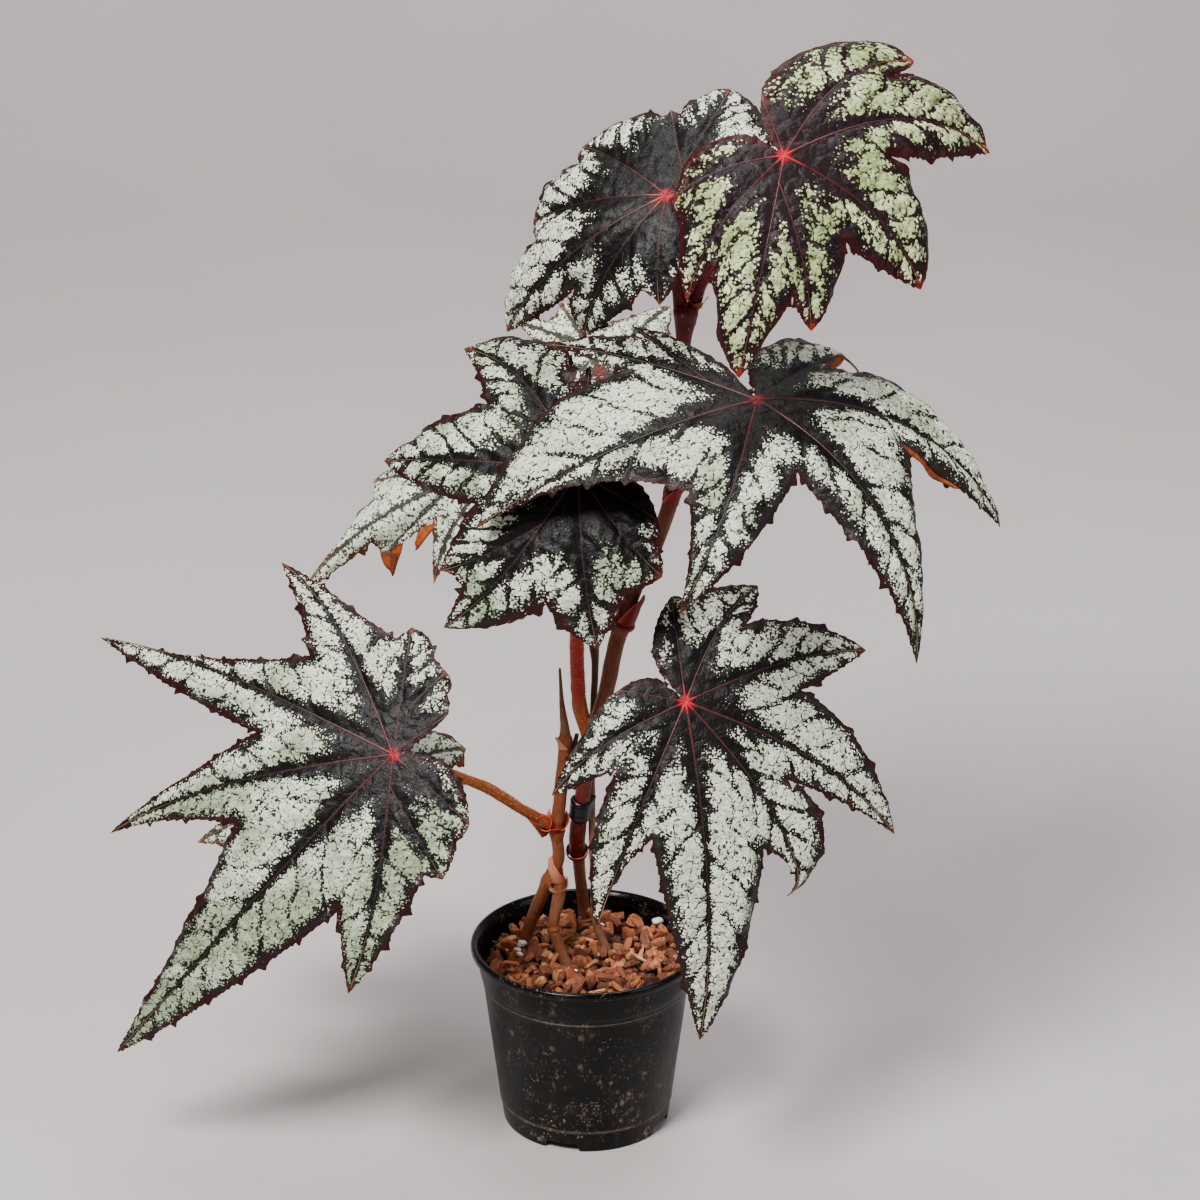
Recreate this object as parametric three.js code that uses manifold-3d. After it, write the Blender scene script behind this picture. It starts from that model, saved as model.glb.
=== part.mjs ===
// Potted rex begonia: a round nursery pot of bark chips, jointed canes, and nine
// star-shaped blades on long petioles. Millimetres, +Z up, seen from the -Y side.
// Inside the plant's own group the origin is the pot's axis at the floor; the outer
// group then moves it to the middle of the whole plant's footprint.

import * as THREE from "three";
import { mergeVertices } from "three/addons/utils/BufferGeometryUtils.js";
import Module from "manifold-3d";

const wasm = await Module();
wasm.setup();

// Pot
const potHeight = 101;
const rimRadius = 60;
const rimWidth = 4;
const collarRadius = 55.6;
const collarBottom = 74;
const footRadius = 43.5;
const wall = 1.3;
const floorHeight = 5;
const notchHeight = 4.4;
const notchWidth = 19;
const notchAngles = [-97, -17, 65, 155];
const potSides = 48;

// Bark
const soilHeight = 88;
const chipCount = 58;
const chipLength = [8, 13];
const chipWidth = [5, 8];
const chipThickness = [3.5, 5.5];

// Stems
const stemSides = 8;
const stemStep = 9;
const rootDepth = 76;
const tieHeight = 14;
const tieWall = 1.6;
const tieLean = [9, 5];

// Blades
const bladeThickness = 1;
const toothHeight = 1.3;
const edgeStep = 13;
const ringReach = [0.34, 0.7, 1];

// Neighbours that touch stay this far apart
const touchGap = 0.3;

const rad = THREE.MathUtils.degToRad;

// Solids

function solidOf(geometry) {
  const bare = geometry.clone();
  bare.deleteAttribute("normal");
  bare.deleteAttribute("uv");
  const merged = mergeVertices(bare, 1e-3);
  return new wasm.Manifold(
    new wasm.Mesh({
      numProp: 3,
      vertProperties: merged.getAttribute("position").array,
      triVerts: new Uint32Array(merged.index.array),
    }),
  );
}

function geometryOf(solid) {
  const made = solid.getMesh();
  return new THREE.BufferGeometry()
    .setAttribute("position", new THREE.BufferAttribute(made.vertProperties, 3))
    .setIndex(new THREE.BufferAttribute(made.triVerts, 1));
}

function join(geometries) {
  return filled(geometries.map(solidOf).reduce((all, next) => all.add(next)));
}

// The largest body of a joined solid, with any pocket inside it filled
function filled(solid) {
  const volume = (body) => body.volume();
  return solid.decompose().reduce((most, next) => (volume(next) > volume(most) ? next : most));
}

// The same row of numbers every time, between 0 and 1
let seed = 20;
function chance() {
  seed = (seed * 16807) % 2147483647;
  return seed / 2147483647;
}

function between([low, high]) {
  return low + (high - low) * chance();
}

// Stems

// A smooth line through rows of x, y, z, radius
function lineOf(rows) {
  const points = rows.map(([x, y, z]) => new THREE.Vector3(x, y, z));
  return new THREE.CatmullRomCurve3(points, false, "centripetal");
}

// A closed tube along the rows, each of its rings scaled to the radius there
function stem(rows, extra = 0) {
  const line = lineOf(rows);
  const steps = Math.max(3, Math.round(line.getLength() / stemStep));
  const section = new THREE.Shape();
  for (let i = 0; i < stemSides; i++) {
    const turn = (2 * Math.PI * i) / stemSides;
    const [x, y] = [Math.cos(turn), Math.sin(turn)];
    if (i) section.lineTo(x, y);
    else section.moveTo(x, y);
  }
  section.closePath();
  const tube = new THREE.ExtrudeGeometry(section, {
    steps,
    bevelEnabled: false,
    extrudePath: line,
  });
  const centres = line.getSpacedPoints(steps);
  const radii = centres.map((_, k) => {
    const place = line.getUtoTmapping(k / steps) * (rows.length - 1);
    const row = Math.min(Math.floor(place), rows.length - 2);
    return THREE.MathUtils.lerp(rows[row][3], rows[row + 1][3], place - row);
  });
  const spots = tube.getAttribute("position");
  const spot = new THREE.Vector3();
  for (let i = 0; i < spots.count; i++) {
    spot.fromBufferAttribute(spots, i);
    const reaches = centres.map((centre) => centre.distanceTo(spot));
    const ring = reaches.indexOf(Math.min(...reaches));
    spot.sub(centres[ring]).multiplyScalar(radii[ring] + extra).add(centres[ring]);
    if (ring === 0) spot.addScaledVector(line.getTangentAt(0), -extra);
    if (ring === steps) spot.addScaledVector(line.getTangentAt(1), extra);
    spots.setXYZ(i, spot.x, spot.y, spot.z);
  }
  return tube;
}

// A swollen ring round a stem, where a leaf or a branch once stood
function knot([x, y, z], size, extra = 0, lean = [0, 0]) {
  const [radius, height] = [size[0] + extra, size[1] + 2 * extra];
  const profile = [
    [0, -height / 2],
    [radius * 0.72, -height / 2],
    [radius, -height * 0.15],
    [radius * 0.96, height * 0.2],
    [radius * 0.7, height / 2],
    [0, height / 2],
  ];
  const points = profile.map(([r, h]) => new THREE.Vector2(r, h));
  const ring = new THREE.LatheGeometry(points, stemSides);
  ring.rotateX(Math.PI / 2);
  ring.rotateX(rad(lean[0]));
  ring.rotateY(rad(lean[1]));
  return ring.translate(x, y, z);
}

// A papery sheath that stands off a node and ends in a point
function sheath([x, y, z], size, extra, tilt, turn) {
  const [radius, length] = [size[0] + extra, size[1] + 2 * extra];
  const cone = new THREE.ConeGeometry(radius, length, 6);
  cone.rotateX(Math.PI / 2);
  cone.translate(0, 0, length / 2);
  cone.rotateY(rad(tilt));
  cone.rotateZ(rad(turn));
  return cone.translate(x, y, z);
}

// Canes, each row x, y, z, radius
const mainCane = [
  [-1, 46.5, rootDepth, 3.2],
  [-1.2, 45.5, 96, 3.2],
  [-2.7, 36, 114.9, 3.3],
  [-4.8, 25, 134, 3.8],
  [-4.8, 15, 152, 4.1],
  [-2.4, 8, 173.1, 4],
  [2.2, 3, 210, 4],
  [9.3, 0, 237.7, 4],
  [17.2, 0, 276, 4.2],
  [27.2, 0, 306.3, 4],
  [35.6, 0, 325.2, 3.9],
  [42.4, 0, 348.3, 3.8],
  [47.2, 0, 395, 3.5],
  [48.5, 0, 447, 3.8],
];
const leftCane = [
  [-34.5, 19, rootDepth, 3.6],
  [-31.9, 16.9, 91, 3.8],
  [-26, 12, 113, 4],
  [-20.6, 8, 132, 4.4],
  [-18.1, 7, 150, 3.8],
  [-18.1, 5, 165, 3.9],
  [-15.7, 5, 179.1, 3.4],
  [-12.1, 5, 197, 3.2],
  [-10.4, 5, 214, 3.2],
  [-12, 5, 234, 2],
  [-13, 5, 253, 0.9],
];
const leftProp = [
  [-20.4, 8, 132, 3.4],
  [-19.8, 5.5, 123, 3.6],
  [-20.4, 1.2, 107, 3.4],
  [-14.5, -0.8, 97, 3.4],
  [-5, -3, rootDepth, 3.2],
];
const thinCane = [
  [14.5, 3.5, rootDepth, 2.3],
  [11.5, 4.7, 90, 2.3],
  [5.7, 8, 105.4, 2.2],
  [4.3, 10.5, 130.1, 2.1],
  [4, 12, 147, 2],
  [4.3, 12, 173, 1.9],
  [3.4, 12.6, 200, 1.8],
  [1.8, 13.5, 231.3, 1.7],
  [3.2, 17, 256, 1.6],
  [2.2, 30, 284, 1.5],
];
const deadStub = [
  [-9.2, 6.5, 196, 1.7],
  [-6.4, 7, 206, 1.5],
  [-4.4, 7, 215.4, 1.1],
];

// The main cane with its swollen nodes and sheaths, grown all over by extra
function mainPieces(extra) {
  return [
    stem(mainCane, extra),
    knot([-5, 23, 138], [5.4, 9], extra, [20, 0]),
    knot([5.4, 1.6, 222], [5.4, 9], extra),
    knot([17.2, 0, 277], [5.6, 10], extra, [0, 12]),
    sheath([18, -1, 276], [4.2, 22], extra, 24, -20),
    knot([48.4, 0, 444], [6, 11], extra),
    sheath([50.5, -3.5, 446], [3, 13], extra, 24, -60),
  ];
}

function leftPieces(extra) {
  return [
    stem(leftCane, extra),
    stem(leftProp, extra),
    stem(deadStub, extra),
    knot([-20.4, 8, 132], [6, 9], extra, [0, 15]),
    knot([-20.2, 1.4, 107], [4.6, 7], extra),
    knot([-18.1, 5.4, 163], [5.2, 8], extra),
    knot([-10.6, 5, 213], [4.2, 7], extra),
  ];
}

// Blades

// A corner of a blade's outline, seen from its upper side: angle in degrees and reach
// in millimetres from the hub. A sinus lies between lobes.
function sinus(angle, reach) {
  return { angle, reach };
}

// A lobe's tip. It droops by so many degrees on its way out, sweeps sideways, and its
// two sides bulge by a share of their own length.
function lobe(angle, reach, droop, sweep = 0, before = 0.08, after = 0.08) {
  return { angle, reach, droop, sweep, before, after };
}

// Each blade: its hub, the way it faces, how steep it hangs, its corners going
// counter-clockwise from one side of the petiole's slit to the other, and the petiole's
// rows from its cane to just behind the hub.
const plants = {
  top: {
    colour: 0x7d8a6f,
    hub: [93, -50, 540],
    facing: 12,
    tilt: 42,
    corners: [
      sinus(138, 4),
      lobe(183, 56, 35, 9, 0.6, 0.06),
      sinus(195.5, 57),
      lobe(218, 84, 48, 11, 0.07, -0.1),
      sinus(226, 63),
      lobe(252, 108, 42, 1, 0.26, 0.05),
      sinus(269, 67),
      lobe(278, 84, 34, -4, 0.11, 0.19),
      sinus(303, 50),
      lobe(328, 93, 36, -12, 0.18, 0.38),
      sinus(4.5, 56),
      lobe(23, 125, 42, -16, 0.22, 0.6),
      sinus(46.5, 79),
      lobe(53, 96, 24, -18, 0.21, 0.6),
      sinus(74, 74),
      lobe(99, 33, 15, 0, 0.18, 0.18),
      sinus(126, 4),
    ],
    petiole: [
      [52.8, -0.4, 451, 3],
      [61, -1, 461, 2.9],
      [73, -12, 487, 2.8],
      [85, -30, 516, 2.6],
    ],
  },
  crown: {
    colour: 0x9aa597,
    hub: [39, -8, 507],
    facing: -12,
    tilt: 46,
    corners: [
      sinus(325, 4),
      lobe(32, 68, 20, 0, 0.54, 0.51),
      sinus(47.5, 63),
      lobe(70, 70, 18, 3, 0.28, 0.39),
      sinus(90.5, 49),
      lobe(97, 52, 18, 0, -0.1, -0.3),
      sinus(102, 48),
      lobe(144, 68, 43, 0, 0.41, 0.08),
      sinus(153, 61),
      lobe(182, 81, 52, 0, 0.55, -0.3),
      sinus(190, 79),
      lobe(212, 117, 64, 0, 0.47, 0.13),
      sinus(224, 64),
      lobe(234, 89, 73, 0, 0.34, 0.15),
      sinus(258.5, 48),
      lobe(268, 54, 36, 4, -0.3, 0.5),
      sinus(315, 4),
    ],
    petiole: [
      [45.8, 0.6, 451, 3],
      [43, -1, 470, 2.9],
      [40.5, -5, 491, 2.7],
    ],
  },
  right: {
    colour: 0x9ca79b,
    hub: [82, -60, 422],
    facing: 4,
    tilt: 68,
    corners: [
      sinus(112, 4),
      lobe(133, 81, 6, 0, 0.21, -0.02),
      sinus(135, 68),
      lobe(147, 112, 10, 4, 0.11, 0),
      sinus(154.5, 66),
      lobe(195, 151, 45, -5, 0.32, -0.19),
      sinus(234.5, 61),
      lobe(254, 117, 55, -9, -0.02, 0.09),
      sinus(291, 46),
      lobe(318, 154, 65, -13, 0.11, -0.11),
      sinus(354, 76),
      lobe(4, 146, 58, -14, 0.23, 0.35),
      sinus(37, 43),
      lobe(44, 73, 30, 0, -0.15, 0.7),
      sinus(100, 4),
    ],
    petiole: [
      [42.8, -1, 355, 3],
      [50, -9, 375, 2.8],
      [66, -33, 397, 2.7],
      [78, -52, 409, 2.6],
    ],
  },
  centre: {
    colour: 0x7f867c,
    hub: [-3, -52, 382],
    facing: -6,
    tilt: 40,
    corners: [
      sinus(58, 4),
      lobe(89, 58, 15),
      sinus(97, 44),
      lobe(118, 102, 34, 14, 0.5, 0.03),
      sinus(139, 63),
      lobe(173, 110, 40, -1, 0.15, 0.14),
      sinus(197.5, 54),
      lobe(224, 85, 34, -10, 0.13, -0.4),
      sinus(231.5, 80),
      lobe(239, 105, 45, -12, 0.04, 0.12),
      sinus(259.5, 66),
      lobe(275, 87, 36, 4, 0.13, 0.03),
      sinus(290.5, 63),
      lobe(306, 65, 20, 6, 0.07, 0.16),
      sinus(318, 50),
      lobe(332, 45, 15, 0, 0.28, 0.43),
      sinus(42, 4),
    ],
    petiole: [
      [3, 0, 218, 4],
      [-2, -2, 231, 3.8],
      [-3.9, -12, 258, 3.6],
      [-4.1, -24, 292, 3.5],
      [-3.8, -34, 332, 3.2],
      [-3.2, -40, 362, 3],
    ],
  },
  back_left: {
    colour: 0xb3bab0,
    hub: [-42, 85, 333],
    facing: -18,
    tilt: 48,
    corners: [
      sinus(16, 4),
      lobe(66, 36, 15, 0, 0.5, 0.08),
      sinus(81.5, 27),
      lobe(109, 44, 20),
      sinus(136.5, 31),
      lobe(159, 46, 24),
      sinus(176.5, 46),
      lobe(188, 79, 30, 0, 0.15, -0.3),
      sinus(193, 77),
      lobe(208, 132, 24, 10, -0.2, 0.1),
      sinus(213, 82),
      lobe(221, 84, 34, 0, -0.3, 0.02),
      sinus(225, 45),
      lobe(238, 74, 40, 7, -0.04, 0.04),
      sinus(252.5, 34),
      lobe(291, 69, 45, 0, 0.11, 0.08),
      sinus(312, 43),
      lobe(329, 61, 30, 0, 0.08, 0.5),
      sinus(8, 4),
    ],
    petiole: [
      [3.4, 21, 261, 1.7],
      [-2, 46, 265, 1.7],
      [-18, 80, 280, 1.7],
      [-35, 96, 306, 1.7],
    ],
  },
  back: {
    colour: 0xb3bab0,
    hub: [7, 120, 370],
    facing: 4,
    tilt: 50,
    corners: [
      sinus(285, 4),
      lobe(341, 36, 20, 0, 0.5, 0.08),
      sinus(10, 30),
      lobe(24, 56, 26),
      sinus(29, 34),
      lobe(50, 66, 30, 0, 0.22, 0.04),
      sinus(88, 27),
      lobe(110, 55, 28, 0, 0.27, -0.3),
      sinus(126, 44),
      lobe(136, 58, 30, 0, 0.3, 0.08),
      sinus(146, 34),
      lobe(166, 52, 28),
      sinus(191.5, 24),
      lobe(215, 31, 28, 0, 0.08, 0.5),
      sinus(265, 4),
    ],
    petiole: [
      [2.3, 31.5, 285.2, 1.7],
      [3, 70, 302, 1.7],
      [5, 112, 336, 1.7],
    ],
  },
  lower_left: {
    colour: 0x8f9a8d,
    hub: [-95, -50, 231],
    facing: -14,
    tilt: 34,
    corners: [
      sinus(20, 4),
      lobe(44, 34, 8),
      sinus(56, 40),
      lobe(66, 49, 8, 0, 0.35, -0.12),
      sinus(76, 53),
      lobe(91, 66, 12, 1, 0.33, -0.13),
      sinus(97.5, 60),
      lobe(120, 127, 22, 10, -0.08, 0.02),
      sinus(137, 71),
      lobe(160, 197, 32, 4, -0.17, 0.08),
      sinus(175.5, 75),
      lobe(193, 170, 30, 5, -0.03, -0.06),
      sinus(207, 91),
      lobe(231, 230, 38, -3, -0.03, 0.03),
      sinus(258, 83),
      lobe(272, 121, 18, -7, 0.04, 0.02),
      sinus(292.5, 62),
      lobe(299, 67, 12, 0, -0.01, 0.11),
      sinus(313.5, 54),
      lobe(325, 52, 10, 0, 0.14, 0.5),
      sinus(10, 4),
    ],
    petiole: [
      [-18.1, 4.6, 165, 2.9],
      [-31, -4, 178, 2.7],
      [-52, -18, 198, 2.6],
      [-76, -34, 216, 2.5],
    ],
  },
  lower_right: {
    colour: 0x8b9689,
    hub: [49, -70, 269],
    facing: 6,
    tilt: 32,
    corners: [
      sinus(136, 4),
      lobe(167, 33, 8, 0, 0.5, 0.03),
      sinus(176, 40),
      lobe(202, 80, 16, 10, -0.03, 0.09),
      sinus(220, 47),
      lobe(244, 120, 24, 2, 0.18, -0.17),
      sinus(253.5, 69),
      lobe(276, 172, 34, -5, 0.08, 0.1),
      sinus(300, 82),
      lobe(310, 115, 25, -10, -0.21, 0.46),
      sinus(323.5, 63),
      lobe(337, 127, 26, -10, 0.02, 0.15),
      sinus(6.5, 58),
      lobe(22, 96, 14, -8, 0.11, 0.19),
      sinus(53.5, 50),
      lobe(66, 70, 12, -11, 0.19, 0.11),
      sinus(88, 51),
      lobe(94, 53, 10, 0, 0.42, 0.45),
      sinus(126, 4),
    ],
    petiole: [
      [7.4, -0.6, 225, 2.7],
      [14, -12, 232, 2.6],
      [28, -34, 246, 2.5],
      [43, -56, 259, 2.4],
    ],
  },
  hidden_left: {
    colour: 0xa9b1a5,
    hub: [-120, 40, 171],
    facing: -10,
    tilt: 44,
    corners: [
      sinus(305, 4),
      lobe(355, 40, 20, 0, 0.4, 0.08),
      sinus(12.5, 31),
      lobe(35, 65, 40, -4, 0.33, 0.4),
      sinus(59, 36),
      lobe(83, 53, 25),
      sinus(105, 29),
      lobe(132, 61, 30),
      sinus(159.5, 28),
      lobe(172, 76, 35),
      sinus(190, 38),
      lobe(198, 100, 40),
      sinus(221, 44),
      lobe(239, 64, 35),
      sinus(251.5, 32),
      lobe(287, 43, 25, 0, 0.08, 0.08),
      sinus(296, 4),
    ],
    petiole: [
      [-20.5, 10, 157, 2.2],
      [-32, 16, 168, 2.1],
      [-56, 28, 178, 2],
      [-74, 38, 172, 2],
      [-92, 50, 160, 2],
      [-110, 54, 157, 1.9],
    ],
  },
};

function flatPoint({ angle, reach }) {
  const turn = rad(angle);
  return new THREE.Vector2(reach * Math.cos(turn), reach * Math.sin(turn));
}

// The blade's outline laid flat: every side a bulging curve cut into small teeth
function outlineOf(corners) {
  const points = [];
  for (let i = 0; i + 1 < corners.length; i++) {
    const rising = "droop" in corners[i + 1];
    const [low, tip] = rising ? [corners[i], corners[i + 1]] : [corners[i + 1], corners[i]];
    const [from, to] = [flatPoint(low), flatPoint(tip)];
    const along = to.clone().sub(from);
    const out = new THREE.Vector2(along.y, -along.x).multiplyScalar(rising ? 1 : -1);
    const bulge = rising ? tip.before : tip.after;
    const control = from.clone().addScaledVector(along, 0.45).addScaledVector(out, bulge);
    const count = THREE.MathUtils.clamp(Math.round(along.length() / edgeStep), 1, 9);
    const side = new THREE.QuadraticBezierCurve(from, control, to).getPoints(count);
    out.normalize();
    for (let k = 1; k < count; k++) {
      side[k].addScaledVector(out, k % 2 ? toothHeight : -toothHeight / 3);
    }
    if (!rising) side.reverse();
    side.pop();
    points.push(...side);
  }
  points.push(flatPoint(corners[corners.length - 1]));
  return keepTurning(points);
}

// Every point lies a little further round the hub than the one before it
function keepTurning(points) {
  const least = rad(0.25);
  const reaches = points.map((point) => point.length());
  const turns = [points[0].angle()];
  for (let i = 1; i < points.length; i++) {
    const turn = points[i].angle() - points[i - 1].angle();
    const short = Math.atan2(Math.sin(turn), Math.cos(turn));
    turns.push(turns[i - 1] + short);
  }
  const first = Math.min(...turns.slice(0, 8));
  turns[0] = Math.min(turns[0], first);
  for (let i = 1; i < turns.length; i++) {
    turns[i] = Math.max(turns[i], turns[i - 1] + least);
  }
  return reaches.map((reach, i) => {
    return new THREE.Vector2(Math.cos(turns[i]), Math.sin(turns[i])).multiplyScalar(reach);
  });
}

// Bends a flat point. A lobe's main vein droops along an arc and sweeps sideways, more
// and more towards the tip; between two lobes both values blend smoothly.
function bend(point, lobes) {
  const reach = point.length();
  const angle = THREE.MathUtils.radToDeg(point.angle());
  const sorted = [...lobes].sort((a, b) => a.angle - b.angle);
  const last = sorted.length - 1;
  let k = sorted.findLastIndex((each) => each.angle <= angle);
  const low = k < 0 ? sorted[last] : sorted[k];
  const high = sorted[(k + 1) % sorted.length];
  const span = (high.angle - low.angle + 360) % 360;
  const share = THREE.MathUtils.smoothstep((angle - low.angle + 360) % 360, 0, span);
  const blend = (a, b) => THREE.MathUtils.lerp(a, b, share);
  const curve = blend(rad(low.droop) / low.reach, rad(high.droop) / high.reach);
  const full = blend(low.reach, high.reach);
  const sweep = blend(low.sweep, high.sweep) * (reach / full) ** 2;
  const turn = rad(angle + sweep);
  const flatReach = Math.sin(curve * reach) / curve;
  const fall = (1 - Math.cos(curve * reach)) / curve;
  return new THREE.Vector3(flatReach * Math.cos(turn), flatReach * Math.sin(turn), -fall);
}

// How steeply the facets round the hub fall away
function slopeAtHub(corners) {
  const lobes = corners.filter((corner) => "droop" in corner);
  const slopes = lobes.map((tip) => {
    const spot = bend(flatPoint(tip).multiplyScalar(ringReach[0]), lobes);
    return -spot.z / Math.hypot(spot.x, spot.y);
  });
  return Math.max(...slopes);
}

// A blade with the same triangles on its upper and its under side, joined by its edge
function bladeGeometry(corners) {
  const lobes = corners.filter((corner) => "droop" in corner);
  const outline = outlineOf(corners);
  const count = outline.length;
  const middle = [new THREE.Vector3()];
  for (const share of ringReach) {
    for (const point of outline) middle.push(bend(point.clone().multiplyScalar(share), lobes));
  }
  const faces = [];
  for (let i = 0; i < count; i++) {
    const j = (i + 1) % count;
    faces.push([0, 1 + i, 1 + j]);
    for (let ring = 1; ring < ringReach.length; ring++) {
      const inner = 1 + (ring - 1) * count;
      const outer = 1 + ring * count;
      faces.push([inner + i, outer + i, outer + j], [inner + i, outer + j, inner + j]);
    }
  }
  const normals = middle.map(() => new THREE.Vector3());
  for (const [a, b, c] of faces) {
    const first = middle[b].clone().sub(middle[a]);
    const normal = first.cross(middle[c].clone().sub(middle[a]));
    for (const corner of [a, b, c]) normals[corner].add(normal);
  }
  const places = [];
  for (const side of [1, -1]) {
    middle.forEach((spot, i) => {
      const shift = normals[i].clone().normalize().multiplyScalar((side * bladeThickness) / 2);
      places.push(...spot.clone().add(shift).toArray());
    });
  }
  const under = middle.length;
  const index = [];
  for (const [a, b, c] of faces) index.push(a, b, c, under + a, under + c, under + b);
  const rim = 1 + (ringReach.length - 1) * count;
  for (let i = 0; i < count; i++) {
    const [a, b] = [rim + i, rim + ((i + 1) % count)];
    index.push(a, under + a, under + b, a, under + b, b);
  }
  return new THREE.BufferGeometry()
    .setAttribute("position", new THREE.Float32BufferAttribute(places, 3))
    .setIndex(index);
}

// Pot and bark

function lathe(profile) {
  const points = profile.map(([r, h]) => new THREE.Vector2(r, h));
  return new THREE.LatheGeometry(points, potSides).rotateX(Math.PI / 2);
}

const bodyTop = collarBottom - 7;
const bodyRadius = 52;
const potProfile = [
  [0, floorHeight],
  [footRadius - 2.4, floorHeight],
  [footRadius - 2.2, 0],
  [footRadius, 0],
  [footRadius + 1.2, 11],
  [footRadius + 1.7, 12],
  [bodyRadius, bodyTop],
  [bodyRadius + 0.5, bodyTop + 2],
  [bodyRadius + 2.6, collarBottom],
  [collarRadius, collarBottom + 5],
  [collarRadius + 0.4, potHeight - 5],
  [rimRadius - 0.4, potHeight - 4],
  [rimRadius, potHeight - 2],
  [rimRadius - 0.9, potHeight - 0.3],
  [rimRadius - 2, potHeight],
  [rimRadius - rimWidth, potHeight - 0.8],
  [collarRadius - wall + 0.3, potHeight - 4],
  [collarRadius - wall, collarBottom + 5],
  [bodyRadius - wall, bodyTop + 1],
  [footRadius + 1.2 - wall, floorHeight + wall],
  [0, floorHeight + wall],
];
const barkProfile = [
  [0, floorHeight + wall + touchGap],
  [footRadius + 0.9 - wall, floorHeight + wall + touchGap],
  [bodyRadius - wall - touchGap, bodyTop + 1],
  [collarRadius - wall - touchGap, collarBottom + 5],
  [collarRadius - wall - touchGap, soilHeight - 2],
  [collarRadius - 6, soilHeight],
  [0, soilHeight + 1],
];

function potSolid() {
  const notch = new THREE.BoxGeometry(notchWidth, 8, notchHeight + 2);
  notch.translate(0, -footRadius, notchHeight / 2 - 1);
  const notches = notchAngles.map((angle) => notch.clone().rotateZ(rad(angle)));
  return notches.reduce((body, cut) => body.subtract(solidOf(cut)), solidOf(lathe(potProfile)));
}

// A chip of bark: a box whose eight corners are pushed about
function chip(reach, turn) {
  const box = new THREE.BoxGeometry(1, 1, 1);
  box.deleteAttribute("normal");
  box.deleteAttribute("uv");
  const block = mergeVertices(box, 1e-3);
  const spots = block.getAttribute("position");
  for (let i = 0; i < spots.count; i++) {
    const shift = [0, 1, 2].map(() => between([-0.17, 0.17]));
    spots.setXYZ(i, spots.getX(i) + shift[0], spots.getY(i) + shift[1], spots.getZ(i) + shift[2]);
  }
  block.scale(between(chipLength), between(chipWidth), between(chipThickness));
  block.rotateY(rad(between([-22, 22])));
  block.rotateX(rad(between([-18, 18])));
  block.rotateZ(rad(between([0, 180])));
  const height = soilHeight + between([0.4, 2]);
  return block.translate(reach * Math.cos(turn), reach * Math.sin(turn), height);
}

function barkSolid(stems) {
  const goldenTurn = rad(137.5);
  const chips = [];
  for (let i = 0; i < chipCount; i++) {
    const reach = (collarRadius - wall - 8.5) * Math.sqrt((i + 0.5) / chipCount);
    chips.push(solidOf(chip(reach, i * goldenTurn)));
  }
  const heap = chips.reduce((all, next) => all.add(next), solidOf(lathe(barkProfile)));
  const cut = stems.reduce((all, rows) => all.subtract(solidOf(stem(rows, touchGap))), heap);
  return filled(cut);
}

// Tie: a flat band round the main and the thin cane
function tieSolid() {
  const [a, b] = [new THREE.Vector2(-2.4, 8), new THREE.Vector2(4.3, 12)];
  const middle = a.clone().add(b).multiplyScalar(0.5);
  const turn = b.clone().sub(a).angle();
  const half = a.distanceTo(b) / 2;
  const band = (radius, height) => {
    const shape = new THREE.Shape();
    shape.absarc(half, 0, radius - 1.4, -Math.PI / 2, Math.PI / 2);
    shape.absarc(-half, 0, radius, Math.PI / 2, -Math.PI / 2);
    const options = { depth: height, bevelEnabled: false, curveSegments: 6 };
    const piece = new THREE.ExtrudeGeometry(shape, options);
    piece.translate(0, 0, -height / 2);
    piece.rotateZ(turn);
    piece.rotateX(rad(tieLean[0]));
    piece.rotateY(rad(tieLean[1]));
    return piece.translate(middle.x, middle.y, 173);
  };
  const inner = 5.2;
  return solidOf(band(inner + tieWall, tieHeight)).subtract(solidOf(band(inner, tieHeight + 4)));
}

// The scene

function paint(colour, roughness = 0.6) {
  return new THREE.MeshStandardMaterial({ color: colour, roughness, metalness: 0 });
}

const plant = new THREE.Group();

function addSolid(name, solid, material) {
  const mesh = new THREE.Mesh(geometryOf(solid), material);
  mesh.name = name;
  plant.add(mesh);
}

const caneColour = paint(0x6d3326, 0.55);

addSolid("pot", potSolid(), paint(0x1c1c1e, 0.55));
addSolid("bark", barkSolid([mainCane, leftCane, leftProp, thinCane]), paint(0x8a4a2c, 0.9));
addSolid("cane_main", join(mainPieces(0)), caneColour);
addSolid("cane_left", join(leftPieces(0)), caneColour);
addSolid("cane_thin", solidOf(stem(thinCane)), paint(0x4a3028, 0.6));
addSolid("tie", tieSolid(), paint(0x151516, 0.5));

const cuts = {
  main: join(mainPieces(touchGap)),
  left: join(leftPieces(touchGap)),
  thin: solidOf(stem(thinCane, touchGap)),
};
const carriedBy = {
  top: "main",
  crown: "main",
  right: "main",
  centre: "main",
  back_left: "thin",
  back: "thin",
  lower_left: "left",
  lower_right: "main",
  hidden_left: "left",
};

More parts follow.
